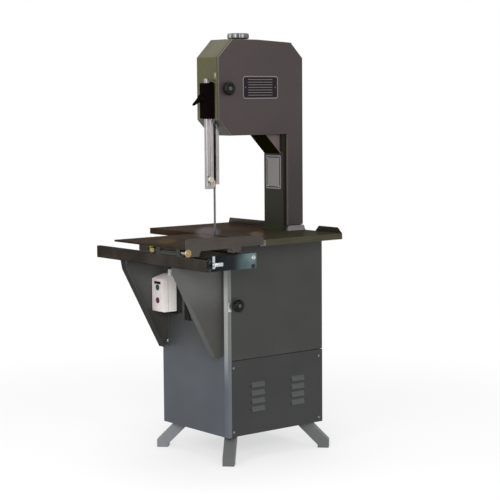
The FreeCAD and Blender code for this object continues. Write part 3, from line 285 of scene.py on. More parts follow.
def reflectionMask(tree, point, values):
    # an oval with a ragged border, where a painted reflection lies
    mapping = addNode(tree, "ShaderNodeMapping", {"vector_type": "TEXTURE"})
    mapping.inputs["Location"].default_value = (*values["place"], reflectionLay["level"])
    mapping.inputs["Rotation"].default_value = (0, 0, math.radians(reflectionLay["turn"]))
    mapping.inputs["Scale"].default_value = (*values["size"], reflectionLay["deep"])
    tree.links.new(point, mapping.inputs["Vector"])
    distance = addNode(tree, "ShaderNodeVectorMath", {"operation": "LENGTH"})
    tree.links.new(mapping.outputs["Vector"], distance.inputs[0])
    ragged = noiseNode(tree, point, reflectionLay["raggedScale"], reflectionLay["raggedDetail"])
    ragged = mathNode(tree, "MULTIPLY", ragged, reflectionLay["ragged"])
    ragged = mathNode(tree, "ADD", distance.outputs["Value"], ragged)
    return rangeNode(tree, ragged, reflectionLay["full"], reflectionLay["gone"], values["amount"], 0.0)


def makeMetal(name, values):
    material, tree, shader, point, stretched = newMaterial(name, values["stretch"])
    tone = placeGroup(tree, cloudTone, point, Scale=values["cloudScale"], Amount=values["cloud"])
    lines = placeGroup(tree, brushLines, stretched, Scale=values["lineScale"])
    dust = placeGroup(tree, restingDust, point, Amount=values["dust"])
    colour = values["colour"]
    # a painted sheen: the colour drifts towards another along one axis
    if "paintedSheen" in values:
        axes = addNode(tree, "ShaderNodeSeparateXYZ")
        tree.links.new(point, axes.inputs[0])
        along = rangeNode(tree, axes.outputs[values["sheenAxis"]], *values["sheenSpan"], 0.0, 1.0)
        colour = mixColour(tree, along, colour, values["paintedSheen"])
    colour = toned(tree, colour, tone.outputs["Tone"])
    # the painted reflections are laid over the steel's colour
    for reflection in values["paintedReflections"]:
        colour = mixColour(tree, reflectionMask(tree, point, paintedReflections[reflection]), colour, paintedReflections[reflection]["colour"])
    streak = mathNode(tree, "MULTIPLY", lines.outputs["Streak"], values["streak"])
    colour = mixColour(tree, streak, colour, values["lineColour"])
    colour = mixColour(tree, dust.outputs["Mask"], colour, values["dustColour"])
    tree.links.new(colour, shader.inputs["Base Color"])
    shader.inputs["Metallic"].default_value = values["metallic"]
    shader.inputs["Specular IOR Level"].default_value = values["gloss"]
    shader.inputs["Specular Tint"].default_value = (*values["edgeTint"], 1.0)
    smoother, rougher = values["roughSpan"]
    rough = rangeNode(tree, lines.outputs["Streak"], 0.0, 1.0, values["rough"] - smoother,
                      values["rough"] + rougher)
    tree.links.new(rough, shader.inputs["Roughness"])
    bumpOn(tree, shader, lines.outputs["Height"], values["depth"], values["lineStrength"])
    return material


def makePlastic(name, values):
    material, tree, shader, point, _ = newMaterial(name)
    tone = placeGroup(tree, cloudTone, point, Scale=values["cloudScale"], Amount=values["cloud"])
    dust = placeGroup(tree, restingDust, point, Amount=values["dust"])
    grain = placeGroup(tree, fineGrain, point, Scale=values["grainScale"])
    colour = toned(tree, values["colour"], tone.outputs["Tone"])
    colour = mixColour(tree, dust.outputs["Mask"], colour, values["dustColour"])
    tree.links.new(colour, shader.inputs["Base Color"])
    rough = rangeNode(tree, tone.outputs["Tone"], 1 - values["cloud"], 1 + values["cloud"],
                      values["rough"] - values["roughSpread"], values["rough"] + values["roughSpread"])
    tree.links.new(rough, shader.inputs["Roughness"])
    shader.inputs["Specular IOR Level"].default_value = values["gloss"]
    bumpOn(tree, shader, grain.outputs["Height"], values["grainDepth"], values["grainStrength"])
    return material


paintBasis = {"lowEnd": 0.0, "lowStart": 0.0, "lowRoom": 0.001, "bare": (0.16, 0.16, 0.155),
              "dustColour": (0.2, 0.19, 0.17), "cloud": 0.12, "cloudScale": 2.6, "wear": 0.55,
              "wearWidth": 0.0012, "dust": 0.12, "grainScale": 420.0, "grainDepth": 0.0002,
              "grainStrength": 0.35, "rough": 0.42, "roughSpread": 0.05, "gloss": 0.3}
metalBasis = {"lineColour": (0.62, 0.62, 0.61), "edgeTint": (1.0, 1.0, 1.0), "stretch": (1, 1, 1),
              "lineScale": 300.0, "cloud": 0.06, "cloudScale": 6.0, "streak": 0.25, "rough": 0.3,
              "roughSpan": (0.04, 0.06), "metallic": 1.0, "gloss": 0.5, "depth": 0.00005,
              "lineStrength": 0.4, "dust": 0.0, "dustColour": (0.3, 0.29, 0.27), "paintedReflections": ()}
plasticBasis = {"colour": (0.004, 0.0032, 0.0038), "dustColour": (0.12, 0.115, 0.11), "cloud": 0.05,
                "cloudScale": 20.0, "dust": 0.03, "grainScale": 900.0, "grainDepth": 0.0001,
                "grainStrength": 0.3, "rough": 0.32, "roughSpread": 0.04, "gloss": 0.13}

# a paint's low colour is whole below lowEnd and gone above lowStart, in metres
paints = {
    "doorPaint": {"colour": (0.028, 0.0295, 0.0265), "low": (0.027, 0.03, 0.03), "lowEnd": 0.15,
                  "lowStart": 0.55},
    "louvrePaint": {"colour": (0.021, 0.0215, 0.021)},
    # the hoods are painted lighter than the louvre panel: a painted highlight on the hoods
    "litHoodPaint": {"colour": (0.046, 0.05, 0.05)},
    # shell, post and trim: the bluish lower colours are a painted reflection of the pale floor, and the
    # shell's darker upper colour is painted shadow of the table
    "shellPaint": {"colour": (0.038, 0.0395, 0.039), "low": (0.05, 0.058, 0.069), "lowEnd": 0.3,
                   "lowStart": 0.62},
    "postPaint": {"colour": (0.122, 0.13, 0.127), "low": (0.085, 0.094, 0.115), "lowEnd": 0.3,
                  "lowStart": 0.55},
    "trimPaint": {"colour": (0.31, 0.32, 0.31), "low": (0.066, 0.075, 0.093), "lowEnd": 0.3,
                  "lowStart": 0.55},
    "bracketPaint": {"colour": (0.07, 0.072, 0.068), "low": (0.042, 0.041, 0.037), "lowEnd": 0.62,
                     "lowStart": 0.76},
    "flangePaint": {"colour": (0.04, 0.043, 0.042)},
    # near-black outer faces of the rear bracket's flange: painted shadow
    "rearFlangeShadow": {"colour": (0.006, 0.006, 0.006), "gloss": 0.1, "dust": 0.0},
    "headDoorPaint": {"colour": (0.038, 0.0285, 0.028), "low": (0.023, 0.0175, 0.0155), "lowEnd": 1.1,
                      "lowStart": 1.5, "cloud": 0.1},
    "framePaint": {"colour": (0.061, 0.057, 0.022), "low": (0.085, 0.078, 0.05), "lowEnd": 1.42,
                   "lowStart": 1.62, "cloud": 0.16},
    # the frame's olive paint darkened: painted shade on the column's inner side
    "shadedColumnPaint": {"colour": (0.0125, 0.012, 0.0072), "gloss": 0.17, "wear": 0.3},
    # the brace is the frame's paint: its flange darkened as painted shade, its front-facing web lightened as
    # painted light
    "shadedBracePaint": {"colour": (0.0058, 0.0056, 0.0008), "gloss": 0.0, "wear": 0.15, "dust": 0.0},
    "litWebPaint": {"colour": (0.1, 0.075, 0.072)},
    # the column foot's inner side painted dark green: painted shade
    "footShadePaint": {"colour": (0.014, 0.017, 0.006), "gloss": 0.02, "dust": 0.0, "wear": 0.2},
    "headBasePaint": {"colour": (0.035, 0.038, 0.038)},
    # the head door's left-facing faces, lighter and olive: painted light from the left
    "litDoorSidePaint": {"colour": (0.075, 0.068, 0.05)},
    # a darker strip along the column's front edge: painted shadow of the cover's rim
    "columnEdgeShadow": {"colour": (0.009, 0.007, 0.0065), "gloss": 0.12, "wear": 0.2},
    "legPaint": {"colour": (0.076, 0.079, 0.078), "bare": (0.3, 0.3, 0.3), "rough": 0.5},
    "rearLegPaint": {"colour": (0.15, 0.158, 0.165), "bare": (0.3, 0.3, 0.3), "rough": 0.5},
    "motorPaint": {"colour": (0.05, 0.08, 0.11), "rough": 0.5},
    "darkPlate": {"colour": (0.008, 0.008, 0.008), "rough": 0.6, "gloss": 0.15},
}
# painted reflections on the table and the carriage: a pale band beside the blade where the guard and bar are
# reflected, tan patches and an olive patch at the right where the room is reflected; all are ovals laid the
# same way, given by their middle and their half sizes
reflectionLay = {"turn": -37.3, "level": 0.93, "deep": 1.0, "raggedScale": 30.0, "raggedDetail": 4.0,
            "ragged": 0.5, "full": 0.75, "gone": 1.35}
paintedReflections = {
    "bladeReflectionBand": {"colour": (0.15, 0.135, 0.14), "place": (0.03, 0.08), "size": (0.06, 0.3),
                   "amount": 0.65},
    "tanTableReflection": {"colour": (0.13, 0.095, 0.05), "place": (0.125, -0.136), "size": (0.032, 0.13),
                 "amount": 0.8},
    "tanCarriageReflection": {"colour": (0.06, 0.042, 0.012), "place": (-0.317, -0.102), "size": (0.046, 0.13),
                    "amount": 0.8},
    "oliveSideReflection": {"colour": (0.03, 0.034, 0.02), "place": (0.27, -0.33), "size": (0.26, 0.5), "amount": 0.8},
}
metals = {
    # the table and carriage steel is painted dark brown, a painted reflection of a dark room in polished
    # steel; the table lip's front faces and the carriage's sides get lighter copies, painted reflection as
    # well
    "darkReflectionSteel": {"colour": (0.027, 0.017, 0.011), "lineColour": (0.05, 0.036, 0.026),
                   "stretch": (1, 0.03, 1), "edgeTint": (0.3, 0.22, 0.17), "rough": 0.2, "cloud": 0.35,
                   "cloudScale": 5.0, "dust": 0.02, "metallic": 0.1, "gloss": 0.0,
                   "paintedReflections": ("bladeReflectionBand", "tanTableReflection", "tanCarriageReflection", "oliveSideReflection")},
    "lipSteel": {"colour": (0.077, 0.068, 0.06), "lineColour": (0.11, 0.098, 0.086),
                 "stretch": (0.03, 1, 1), "edgeTint": (0.2, 0.18, 0.15), "cloud": 0.15},
    "lipReflectionSteel": {"colour": (0.07, 0.068, 0.042), "lineColour": (0.11, 0.108, 0.075),
                      "stretch": (0.03, 1, 1), "edgeTint": (0.2, 0.19, 0.14), "cloud": 0.15},
    # the cross plate turns lighter and bluish towards its right end: a painted reflection
    "crossSteel": {"colour": (0.014, 0.0165, 0.019), "lineColour": (0.07, 0.09, 0.1),
                   "stretch": (0.03, 1, 1), "edgeTint": (0.3, 0.4, 0.4), "rough": 0.25, "cloud": 0.3,
                   "cloudScale": 9.0, "streak": 0.1, "paintedSheen": (0.13, 0.19, 0.2), "sheenAxis": "X",
                   "sheenSpan": (-0.22, -0.13)},
    "railSteel": {"colour": (0.055, 0.05, 0.044), "lineColour": (0.09, 0.08, 0.07), "stretch": (1, 0.03, 1),
                  "edgeTint": (0.15, 0.12, 0.1), "rough": 0.28, "cloud": 0.25},
    "brightSteel": {"colour": (0.34, 0.32, 0.32), "lineColour": (0.5, 0.48, 0.48), "stretch": (1, 1, 0.03),
                    "cloud": 0.12},
    "bladeSteel": {"colour": (0.14, 0.14, 0.14), "lineColour": (0.2, 0.2, 0.2),
                   "edgeTint": (0.3, 0.3, 0.3)},
    "zinc": {"colour": (0.55, 0.56, 0.57), "lineScale": 120.0},
    "lockMetal": {"colour": (0.5, 0.54, 0.56), "lineColour": (0.66, 0.7, 0.72), "rough": 0.28},
    "hangerSteel": {"colour": (0.07, 0.075, 0.066), "lineColour": (0.12, 0.13, 0.12),
                    "stretch": (1, 0.03, 1), "edgeTint": (0.3, 0.3, 0.3)},
    "discMetal": {"colour": (0.5, 0.47, 0.4), "lineColour": (0.62, 0.59, 0.52), "rough": 0.4},
    "bezelMetal": {"colour": (0.08, 0.09, 0.09), "lineColour": (0.14, 0.15, 0.15),
                   "edgeTint": (0.4, 0.4, 0.4)},
    "carriageLipReflectionSteel": {"colour": (0.05, 0.044, 0.03), "lineColour": (0.075, 0.066, 0.05),
                         "stretch": (1, 0.03, 1), "edgeTint": (0.15, 0.13, 0.1), "cloud": 0.2},
    "darkBolt": {"colour": (0.06, 0.062, 0.066), "lineColour": (0.1, 0.1, 0.1),
                 "edgeTint": (0.3, 0.3, 0.3)},
    "castIron": {"colour": (0.2, 0.2, 0.2), "lineColour": (0.26, 0.26, 0.26), "rough": 0.45,
                 "depth": 0.0002},
    "brass": {"colour": (0.27, 0.2, 0.055), "lineColour": (0.6, 0.5, 0.25), "rough": 0.28, "streak": 0.4},
    "paleMetal": {"colour": (0.155, 0.155, 0.15), "lineColour": (0.24, 0.24, 0.235), "rough": 0.42,
                  "edgeTint": (0.6, 0.6, 0.6)},
    "oliveMetal": {"colour": (0.13, 0.125, 0.075), "lineColour": (0.18, 0.17, 0.11), "rough": 0.5,
                   "edgeTint": (0.3, 0.3, 0.2)},
    "footMetal": {"colour": (0.17, 0.16, 0.155), "lineColour": (0.36, 0.35, 0.34), "rough": 0.38},
    "rosySteel": {"colour": (0.34, 0.27, 0.25), "lineColour": (0.5, 0.42, 0.4)},
    "badgeRim": {"colour": (0.22, 0.2, 0.19), "lineColour": (0.32, 0.29, 0.28)},
}
plastics = {
    "blackPlastic": {},
    "clampPlastic": {"colour": (0.003, 0.0015, 0.0015), "rough": 0.5, "gloss": 0.005, "dust": 0.0},
    "seamShade": {"colour": (0.12, 0.115, 0.11), "rough": 0.6, "gloss": 0.1},
    "badgeField": {"colour": (0.009, 0.006, 0.009), "rough": 0.4, "gloss": 0.12},
    "whitePlastic": {"colour": (0.63, 0.58, 0.575), "rough": 0.5, "dust": 0.12, "gloss": 0.4,
                     "dustColour": (0.35, 0.34, 0.32)},
    # the switch box's front faces, a lighter copy of its plastic: painted light
    "litBoxFrontPlastic": {"colour": (0.79, 0.75, 0.71), "rough": 0.5, "cloud": 0.04, "gloss": 0.4},
    "nylon": {"colour": (0.42, 0.34, 0.24), "rough": 0.5},
    "plainLabel": {"colour": (0.17, 0.166, 0.162), "rough": 0.45, "cloud": 0.06, "cloudScale": 9.0},
    "greenPlastic": {"colour": (0.02, 0.075, 0.06), "rough": 0.35},
    "redPlastic": {"colour": (0.16, 0.01, 0.02), "rough": 0.35},
    "rubber": {"colour": (0.02, 0.02, 0.02), "rough": 0.75},
}

finishes = {}
for name, values in paints.items():
    # a paint without a low colour is the same all the way down
    finishes[name] = makePaint(name, {**paintBasis, "low": values["colour"], **values})
for name, values in metals.items():
    finishes[name] = makeMetal(name, {**metalBasis, **values})
for name, values in plastics.items():
    finishes[name] = makePlastic(name, {**plasticBasis, **values})
print("finishes ready:", len(finishes))

# distances in metres under which points are merged, and the angle under which faces count as flat
merging = {"solid": 0.00001, "piece": 0.000005, "spin": 0.000001, "flat": 0.5}
fluteFade = {"start": 0.6, "span": 0.3}  # where a grip's flutes fade in, in parts of its widest radius


def boxOf(node):
    low, high = (Vector(corner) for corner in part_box(node))
    return low, high, (low + high) / 2


def addPiece(name, bm, node, finish, replaces=False, body=None, smoothBelow=50, fixNormals=True, extra=()):
    # the piece takes its body from the solid that it dresses, and stands in for it where replaces is set
    body = body or bodyOf[node]
    bmesh.ops.remove_doubles(bm, verts=bm.verts, dist=merging["piece"])
    if fixNormals:
        bmesh.ops.recalc_face_normals(bm, faces=bm.faces)
    mesh = bpy.data.meshes.new(name)
    bm.to_mesh(mesh)
    bm.free()
    mesh.shade_smooth()
    mesh.set_sharp_from_angle(angle=math.radians(smoothBelow))
    for item in (finish, *extra):
        mesh.materials.append(finishes[item])
    piece = bpy.data.objects.new(name, mesh)
    scene.collection.objects.link(piece)
    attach(piece, body)
    weighted = piece.modifiers.new("evenShading", "WEIGHTED_NORMAL")
    weighted.keep_sharp = True
    if replaces:
        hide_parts(node)


def roundOff(bm, items, width, segments=2, affect="EDGES"):
    bmesh.ops.bevel(bm, geom=items, offset=width, offset_type="OFFSET", segments=segments, profile=0.5,
                    affect=affect, clamp_overlap=True, material=-1)


def blockShape(bm, low, high, rounding):
    low, high = Vector(low), Vector(high)
    verts = bmesh.ops.create_cube(bm, size=1.0)["verts"]
    bmesh.ops.scale(bm, vec=high - low, verts=verts)
    bmesh.ops.translate(bm, vec=(high + low) / 2, verts=verts)
    roundOff(bm, list(dict.fromkeys(edge for vert in verts for edge in vert.link_edges)), rounding)


def turnTo(direction, base):
    return Matrix.Translation(base) @ Vector(direction).to_track_quat("Z", "Y").to_matrix().to_4x4()


def spinShape(bm, outline, base, direction, steps=48, flutes=0, fluteDepth=0.0):
    # outline lists (radius, height) pairs; flutes press the grip in between its lobes
    verts = [bm.verts.new((radius, 0, height)) for radius, height in outline]
    edges = [bm.edges.new(pair) for pair in zip(verts, verts[1:])]
    before = set(bm.verts) - set(verts)
    bmesh.ops.spin(bm, geom=verts + edges, cent=(0, 0, 0), axis=(0, 0, 1), dvec=(0, 0, 0),
                   angle=2 * math.pi, steps=steps, use_merge=True)
    made = [vert for vert in bm.verts if vert not in before]
    bmesh.ops.remove_doubles(bm, verts=made, dist=merging["spin"])
    made = [vert for vert in bm.verts if vert not in before]
    widest = max(radius for radius, _ in outline)
    if flutes:
        for vert in made:
            reach = math.hypot(vert.co.x, vert.co.y) / widest
            wave = 0.5 + 0.5 * math.cos(flutes * math.atan2(vert.co.y, vert.co.x))
            fade = max(0.0, min(1.0, (reach - fluteFade["start"]) / fluteFade["span"]))
            press = 1 - fluteDepth * wave ** 2 * fade
            vert.co.x *= press
            vert.co.y *= press
    bmesh.ops.transform(bm, matrix=turnTo(direction, base), verts=made)


def plateShape(bm, low, high, corner):
    # a sheet standing in the door plane between two corners, its outline rounded off; gives its front face
    low, high = Vector(low), Vector(high)
    spots = ((low.x, low.z), (high.x, low.z), (high.x, high.z), (low.x, high.z))
    verts = [bm.verts.new((x, high.y, z)) for x, z in spots]
    bm.faces.new(verts)
    roundOff(bm, verts, corner, 6, "VERTICES")
    face = max(bm.faces, key=lambda item: item.calc_area())
    moved = bmesh.ops.extrude_face_region(bm, geom=[face])["geom"]
    verts = [item for item in moved if isinstance(item, bmesh.types.BMVert)]
    bmesh.ops.translate(bm, vec=(0, low.y - high.y, 0), verts=verts)
    return [item for item in moved if isinstance(item, bmesh.types.BMFace)][0]


boltShape = {"radius": 0.0065, "depth": 0.0052, "seat": 0.0016, "chamfer": 0.0009, "steps": 28,
             "washer": ((0, 0), (0.0088, 0), (0.0088, 0.0012), (0.0088 * 0.94, 0.0017), (0, 0.0017)),
             "rimRoom": 0.0001, "near": 0.01}


def hexBolt(bm, base, direction):
    spinShape(bm, boltShape["washer"], base, direction, boltShape["steps"])
    place = turnTo(direction, base)
    radius, depth, seat = boltShape["radius"], boltShape["depth"], boltShape["seat"]
    verts = bmesh.ops.create_cone(bm, cap_ends=True, segments=6, radius1=radius, radius2=radius, depth=depth,
                                  matrix=place @ Matrix.Translation((0, 0, seat + depth / 2)))["verts"]
    rim = [edge for vert in verts for edge in vert.link_edges
           if all(abs((place.inverted() @ end.co).z - seat - depth) < boltShape["rimRoom"]
                  for end in edge.verts)]
    roundOff(bm, list(dict.fromkeys(rim)), boltShape["chamfer"])


def solidCopy(node):
    bm = bmesh.new()
    bm.from_mesh(frame["nodes"][node].data)
    bmesh.ops.remove_doubles(bm, verts=bm.verts, dist=merging["solid"])
    bmesh.ops.dissolve_limit(bm, angle_limit=math.radians(merging["flat"]), verts=bm.verts, edges=bm.edges)
    return bm


def softenEdges(bm, width, segments=2, sharpAbove=40, shortest=5, wanted=None):
    # rounds off the sharp edges, but for those shorter than so many widths
    bm.normal_update()
    chosen = []
    for edge in bm.edges:
        if len(edge.link_faces) == 2 and edge.calc_length() > shortest * width:
            if wanted and not all(wanted(end.co) for end in edge.verts):
                continue
            if edge.calc_face_angle(0) > math.radians(sharpAbove):
                chosen.append(edge)
    roundOff(bm, chosen, width, segments)


def islands(node):
    # the two corners of the box round each loose part of a solid
    bm = solidCopy(node)
    left = set(bm.verts)
    found = []
    for start in bm.verts:
        if start not in left:
            continue
        left.discard(start)
        queue = [start]
        part = []
        while queue:
            vert = queue.pop()
            part.append(vert.co.copy())
            for edge in vert.link_edges:
                other = edge.other_vert(vert)
                if other in left:
                    left.discard(other)
                    queue.append(other)
        low = Vector([min(point[axis] for point in part) for axis in range(3)])
        high = Vector([max(point[axis] for point in part) for axis in range(3)])
        found.append((low, high))
    bm.free()
    return found


# sheet-metal and block pieces are the solids with their edges softened: how wide, and in which finish
softened = {
    "cabinet_shell": (0.0012, "shellPaint"), "cabinet_door": (0.001, "doorPaint"),
    "louvre_panel": (0.0006, "louvrePaint"), "legs": (0.0015, "legPaint"),
    "head_shell": (0.001, "framePaint"), "head_door": (0.001, "headDoorPaint"),
    # the column and the brace take darkened copies of the frame's olive paint: painted shade
    "column_shell": (0.0012, "shadedColumnPaint"), "column_brace": (0.0008, "shadedBracePaint"),
    "table_top": (0.0008, "darkReflectionSteel"), "table_upstands": (0.0008, "lipSteel"),
    "carriage_plate": (0.0008, "darkReflectionSteel"), "carriage_fence": (0.0007, "lipSteel"),
    "outer_rail": (0.0006, "railSteel"), "inner_rail": (0.0006, "railSteel"),
    "cross_plate": (0.0007, "crossSteel"), "rail_brackets": (0.0008, "bracketPaint"),
    # the switch bracket's black plate is partly its own colour and partly painted shade, for the shadow
    # between the switch box and the front bracket
    "switch_bracket": (0.0008, "darkPlate"), "guide_bar": (0.0005, "brightSteel"),
    "blade_guard": (0.0005, "brightSteel"), "guide_clamp": (0.002, "clampPlastic"),
    "column_foot": (0.0004, "footMetal"), "table_supports": (0.001, "bracketPaint"),
    "notice_plate": (0.0003, "plainLabel"), "carriage_hangers": (0.0005, "hangerSteel"),
    "bearing_shelf": (0.001, "shellPaint"), "tension_block": (0.001, "castIron"),
    "tension_ways": (0.0008, "darkPlate"), "door_keepers": (0.0004, "zinc"),
    "switch_box": (0.0022, "whitePlastic"), "rail_lock": (0.0008, "lockMetal"),
    "shaft_bearings": (0.001, "castIron"), "motor": (0.0008, "motorPaint"),
    "upper_wheel": (0.0008, "castIron"), "lower_wheel": (0.0008, "castIron"),
    "motor_pulley": (0.0006, "castIron"), "drive_shaft": (0.0006, "zinc"),
    "lower_guide": (0.0006, "nylon"), "guide_pads": (0.0005, "nylon"),
    "cabinet_door_latch": (0.0005, "zinc"), "head_door_latch": (0.0005, "zinc"),
    "clamp_stud": (0.0004, "brass"), "door_hinges": (0.0003, "shellPaint"),
}
# faces of a piece that carry another finish: a test on the face's middle, in metres, and on its normal
otherFinishes = {
    "cabinet_shell": [("postPaint", lambda spot, facing: spot.y < -0.2285 and spot.x < -0.08)],
    "door_keepers": [("oliveMetal", lambda spot, facing: spot.z > 1.0)],
    # the column's front-edge faces take a painted shadow
    "column_shell": [("columnEdgeShadow", lambda spot, facing: spot.y < -0.09)],
    # the brace's front-facing web takes the lighter copy, painted light
    "column_brace": [("litWebPaint", lambda spot, facing: facing.y < -0.5)],
    # the foot's inner side takes the painted shade
    "column_foot": [("footShadePaint", lambda spot, facing: spot.x < 0.3062)],
    "head_shell": [("headBasePaint", lambda spot, facing: facing.z < -0.3)],
    # the door's left-facing faces take the painted light
    "head_door": [("litDoorSidePaint", lambda spot, facing: facing.x < -0.3)],
    # lighter copies of the steel on the carriage's sides and the table lip's front faces: painted reflection
    "carriage_plate": [("carriageLipReflectionSteel", lambda spot, facing: spot.z < 0.931 and abs(facing.z) < 0.5)],
    "table_top": [("lipReflectionSteel", lambda spot, facing: spot.z < 0.9345 and facing.y < -0.3)],
    "table_upstands": [("paleMetal", lambda spot, facing: spot.y < -0.3575)],
    "cross_plate": [("lockMetal", lambda spot, facing: spot.y < -0.4102)],
    "guide_pads": [("discMetal", lambda spot, facing: spot.y < -0.0736)],
    # the protruding hoods take the lighter copy, a painted highlight
    "louvre_panel": [("litHoodPaint", lambda spot, facing: spot.y < -0.2312)],
    "legs": [("rearLegPaint", lambda spot, facing: spot.y > 0.1)],
    "rail_brackets": [("flangePaint", lambda spot, facing: facing.x < -0.5 and spot.y < 0.0),
                      # the rear flange's outer faces take the painted shadow
                      ("rearFlangeShadow",
                       lambda spot, facing: facing.x < -0.5 and spot.y > 0.0 and spot.x < -0.13)],
    # the box's front faces take the painted light
    "switch_box": [("litBoxFrontPlastic", lambda spot, facing: facing.y < -0.7)],
    "carriage_hangers": [("brass", lambda spot, facing: spot.x < -0.415 and spot.y < -0.403),
                         ("brass", lambda spot, facing: spot.x < -0.415 and -0.1895 < spot.y < -0.16),
                         ("rosySteel", lambda spot, facing: spot.x < -0.415 and -0.3945 < spot.y < -0.3665),
                         ("darkBolt", lambda spot, facing: spot.x < -0.415 and -0.3625 < spot.y < -0.3365),
                         ("darkBolt", lambda spot, facing: spot.x < -0.415 and -0.2285 < spot.y < -0.2025)],
}
# outer edges folded or cast with a wider round: its width, and where those edges lie
wideEdges = {
    "head_door": (0.005, lambda spot: spot.y < -0.1074),
    "guide_clamp": (0.006, lambda spot: spot.x < -0.0945),
    "cabinet_door": (0.002, lambda spot: spot.y < -0.2304),
}
for node, (width, finish) in softened.items():
    bm = solidCopy(node)
    if node in wideEdges:
        wide, wanted = wideEdges[node]
        softenEdges(bm, wide, 3, wanted=wanted)
    softenEdges(bm, width)
    bm.normal_update()
    rules = otherFinishes.get(node, [])
    for face in bm.faces:
        for index, (_, isOther) in enumerate(rules, 1):
            if isOther(face.calc_center_median(), face.normal):
                face.material_index = index  # the last rule that holds wins
    others = [other for other, _ in rules]
    addPiece(node + "_body", bm, node, finish, True, fixNormals=False, extra=others)
print("softened pieces:", len(softened))

# door knobs: a fluted grip with a metal cap in its face; the outline is in parts of the radius and depth
knobShape = {"flutes": 10, "fluteDepth": 0.07, "steps": 120,
             "capRadius": 0.3, "capSeat": 0.88, "capSteps": 32,
             "outline": ((0, 0), (0.6, 0), (0.63, 0.2), (0.72, 0.3), (0.93, 0.38), (1.0, 0.5), (1.0, 0.66),
                         (0.95, 0.8), (0.8, 0.92), (0.6, 0.97), (0.45, 0.95), (0.4, 0.88), (0, 0.88)),
             "cap": ((0, 0), (1, 0), (1, 0.0008), (0.8, 0.0016), (0, 0.0022))}
for node in ("cabinet_door_knob", "head_door_knob"):
    low, high, middle = boxOf(node)
    radius, depth = (high.x - low.x) / 2, high.y - low.y
    base = (middle.x, high.y, middle.z)
    bm = bmesh.new()
    spinShape(bm, [(wide * radius, deep * depth) for wide, deep in knobShape["outline"]], base, (0, -1, 0),
              knobShape["steps"], knobShape["flutes"], knobShape["fluteDepth"])
    addPiece(node + "_grip", bm, node, "blackPlastic", True)
    bm = bmesh.new()
    cap = knobShape["capRadius"] * radius
    base = (middle.x, high.y - knobShape["capSeat"] * depth, middle.z)
    spinShape(bm, [(wide * cap, deep) for wide, deep in knobShape["cap"]], base, (0, -1, 0),
              knobShape["capSteps"])
    addPiece(node + "_cap", bm, node, "bezelMetal")

# tension handwheel: six thick lobes round a dished middle
wheelShape = {"lobes": 6, "lobeDepth": 0.24, "steps": 144,
              "outline": ((0, 0), (0.45, 0), (0.5, 0.06), (0.86, 0.06), (0.96, 0.12), (1.0, 0.26),
                          (1.0, 0.74), (0.96, 0.9), (0.86, 0.98), (0.72, 1.0), (0.6, 0.9), (0.42, 0.8),
                          (0.3, 0.82), (0.22, 0.96), (0, 0.98))}
low, high, middle = boxOf("tension_handwheel")
radius, depth = (high.y - low.y) / 2, high.z - low.z
bm = bmesh.new()
spinShape(bm, [(wide * radius, deep * depth) for wide, deep in wheelShape["outline"]],
          (middle.x, middle.y, low.z), (0, 0, 1),
          wheelShape["steps"], wheelShape["lobes"], wheelShape["lobeDepth"])
addPiece("handwheel_casting", bm, "tension_handwheel", "paleMetal", True)
print("knobs and handwheel done")

# badge: a bare plate with a raised rim, fine ribs across its field and a rivet at each end
badgeShape = {"corner": 0.013, "rim": 0.0045, "slope": 0.0005, "sink": 0.0008,
              "ribs": 7, "ribInset": 0.03, "ribMargin": 0.015, "ribHalf": 0.0012, "ribSunk": 0.0005,
              "ribRise": 0.0004, "ribRound": 0.0004, "rivetInset": 0.015, "rivetSteps": 20,
              "rivet": ((0, -0.0004), (0.0022, -0.0004), (0.0022, 0.0002), (0, 0.0007))}
low, high, middle = boxOf("badge_plate")
bm = bmesh.new()
front = plateShape(bm, low, high, badgeShape["corner"])
bmesh.ops.inset_region(bm, faces=[front], thickness=badgeShape["rim"], depth=0)
front.material_index = 1
bmesh.ops.inset_region(bm, faces=[front], thickness=badgeShape["slope"], depth=-badgeShape["sink"])
addPiece("badge_body", bm, "badge_plate", "badgeRim", True, extra=("badgeField",))
bm = bmesh.new()
fieldY = low.y + badgeShape["sink"]
step = (high.z - low.z - 2 * badgeShape["ribMargin"]) / (badgeShape["ribs"] - 1)
left, right = low.x + badgeShape["ribInset"], high.x - badgeShape["ribInset"]
under, over, half = fieldY - badgeShape["ribSunk"], fieldY + badgeShape["ribRise"], badgeShape["ribHalf"]
for rib in range(badgeShape["ribs"]):
    z = low.z + badgeShape["ribMargin"] + rib * step
    blockShape(bm, (left, under, z - half), (right, over, z + half), badgeShape["ribRound"])
for x in (low.x + badgeShape["rivetInset"], high.x - badgeShape["rivetInset"]):
    spinShape(bm, badgeShape["rivet"], (x, fieldY, middle.z), (0, -1, 0), badgeShape["rivetSteps"])
addPiece("badge_ribs", bm, "badge_plate", "badgeRim")

# hexagon bolts: their heads face left on the rails, forward on the cross plate and the rear bracket, and
# back on the front bracket; on the cross plate all but the upper right ones are dark
low, high, middle = boxOf("cross_plate")
bm, dark = bmesh.new(), bmesh.new()
for partLow, partHigh in islands("rail_bolts"):
    spot = (partLow + partHigh) / 2
    if partHigh.x - partLow.x < boltShape["near"]:
        hexBolt(bm, (partHigh.x, spot.y, spot.z), (-1, 0, 0))
    elif spot.y < low.y + boltShape["near"]:
        bright = spot.x > middle.x and spot.z > middle.z
        hexBolt(bm if bright else dark, (spot.x, partHigh.y, spot.z), (0, -1, 0))
    elif spot.y > 0:
        hexBolt(bm, (spot.x, partHigh.y, spot.z), (0, -1, 0))
    else:
        hexBolt(bm, (spot.x, partLow.y, spot.z), (0, 1, 0))
addPiece("rail_bolt_heads", bm, "rail_bolts", "zinc", True, smoothBelow=30)
addPiece("plate_bolt_heads", dark, "rail_bolts", "darkBolt", smoothBelow=30)

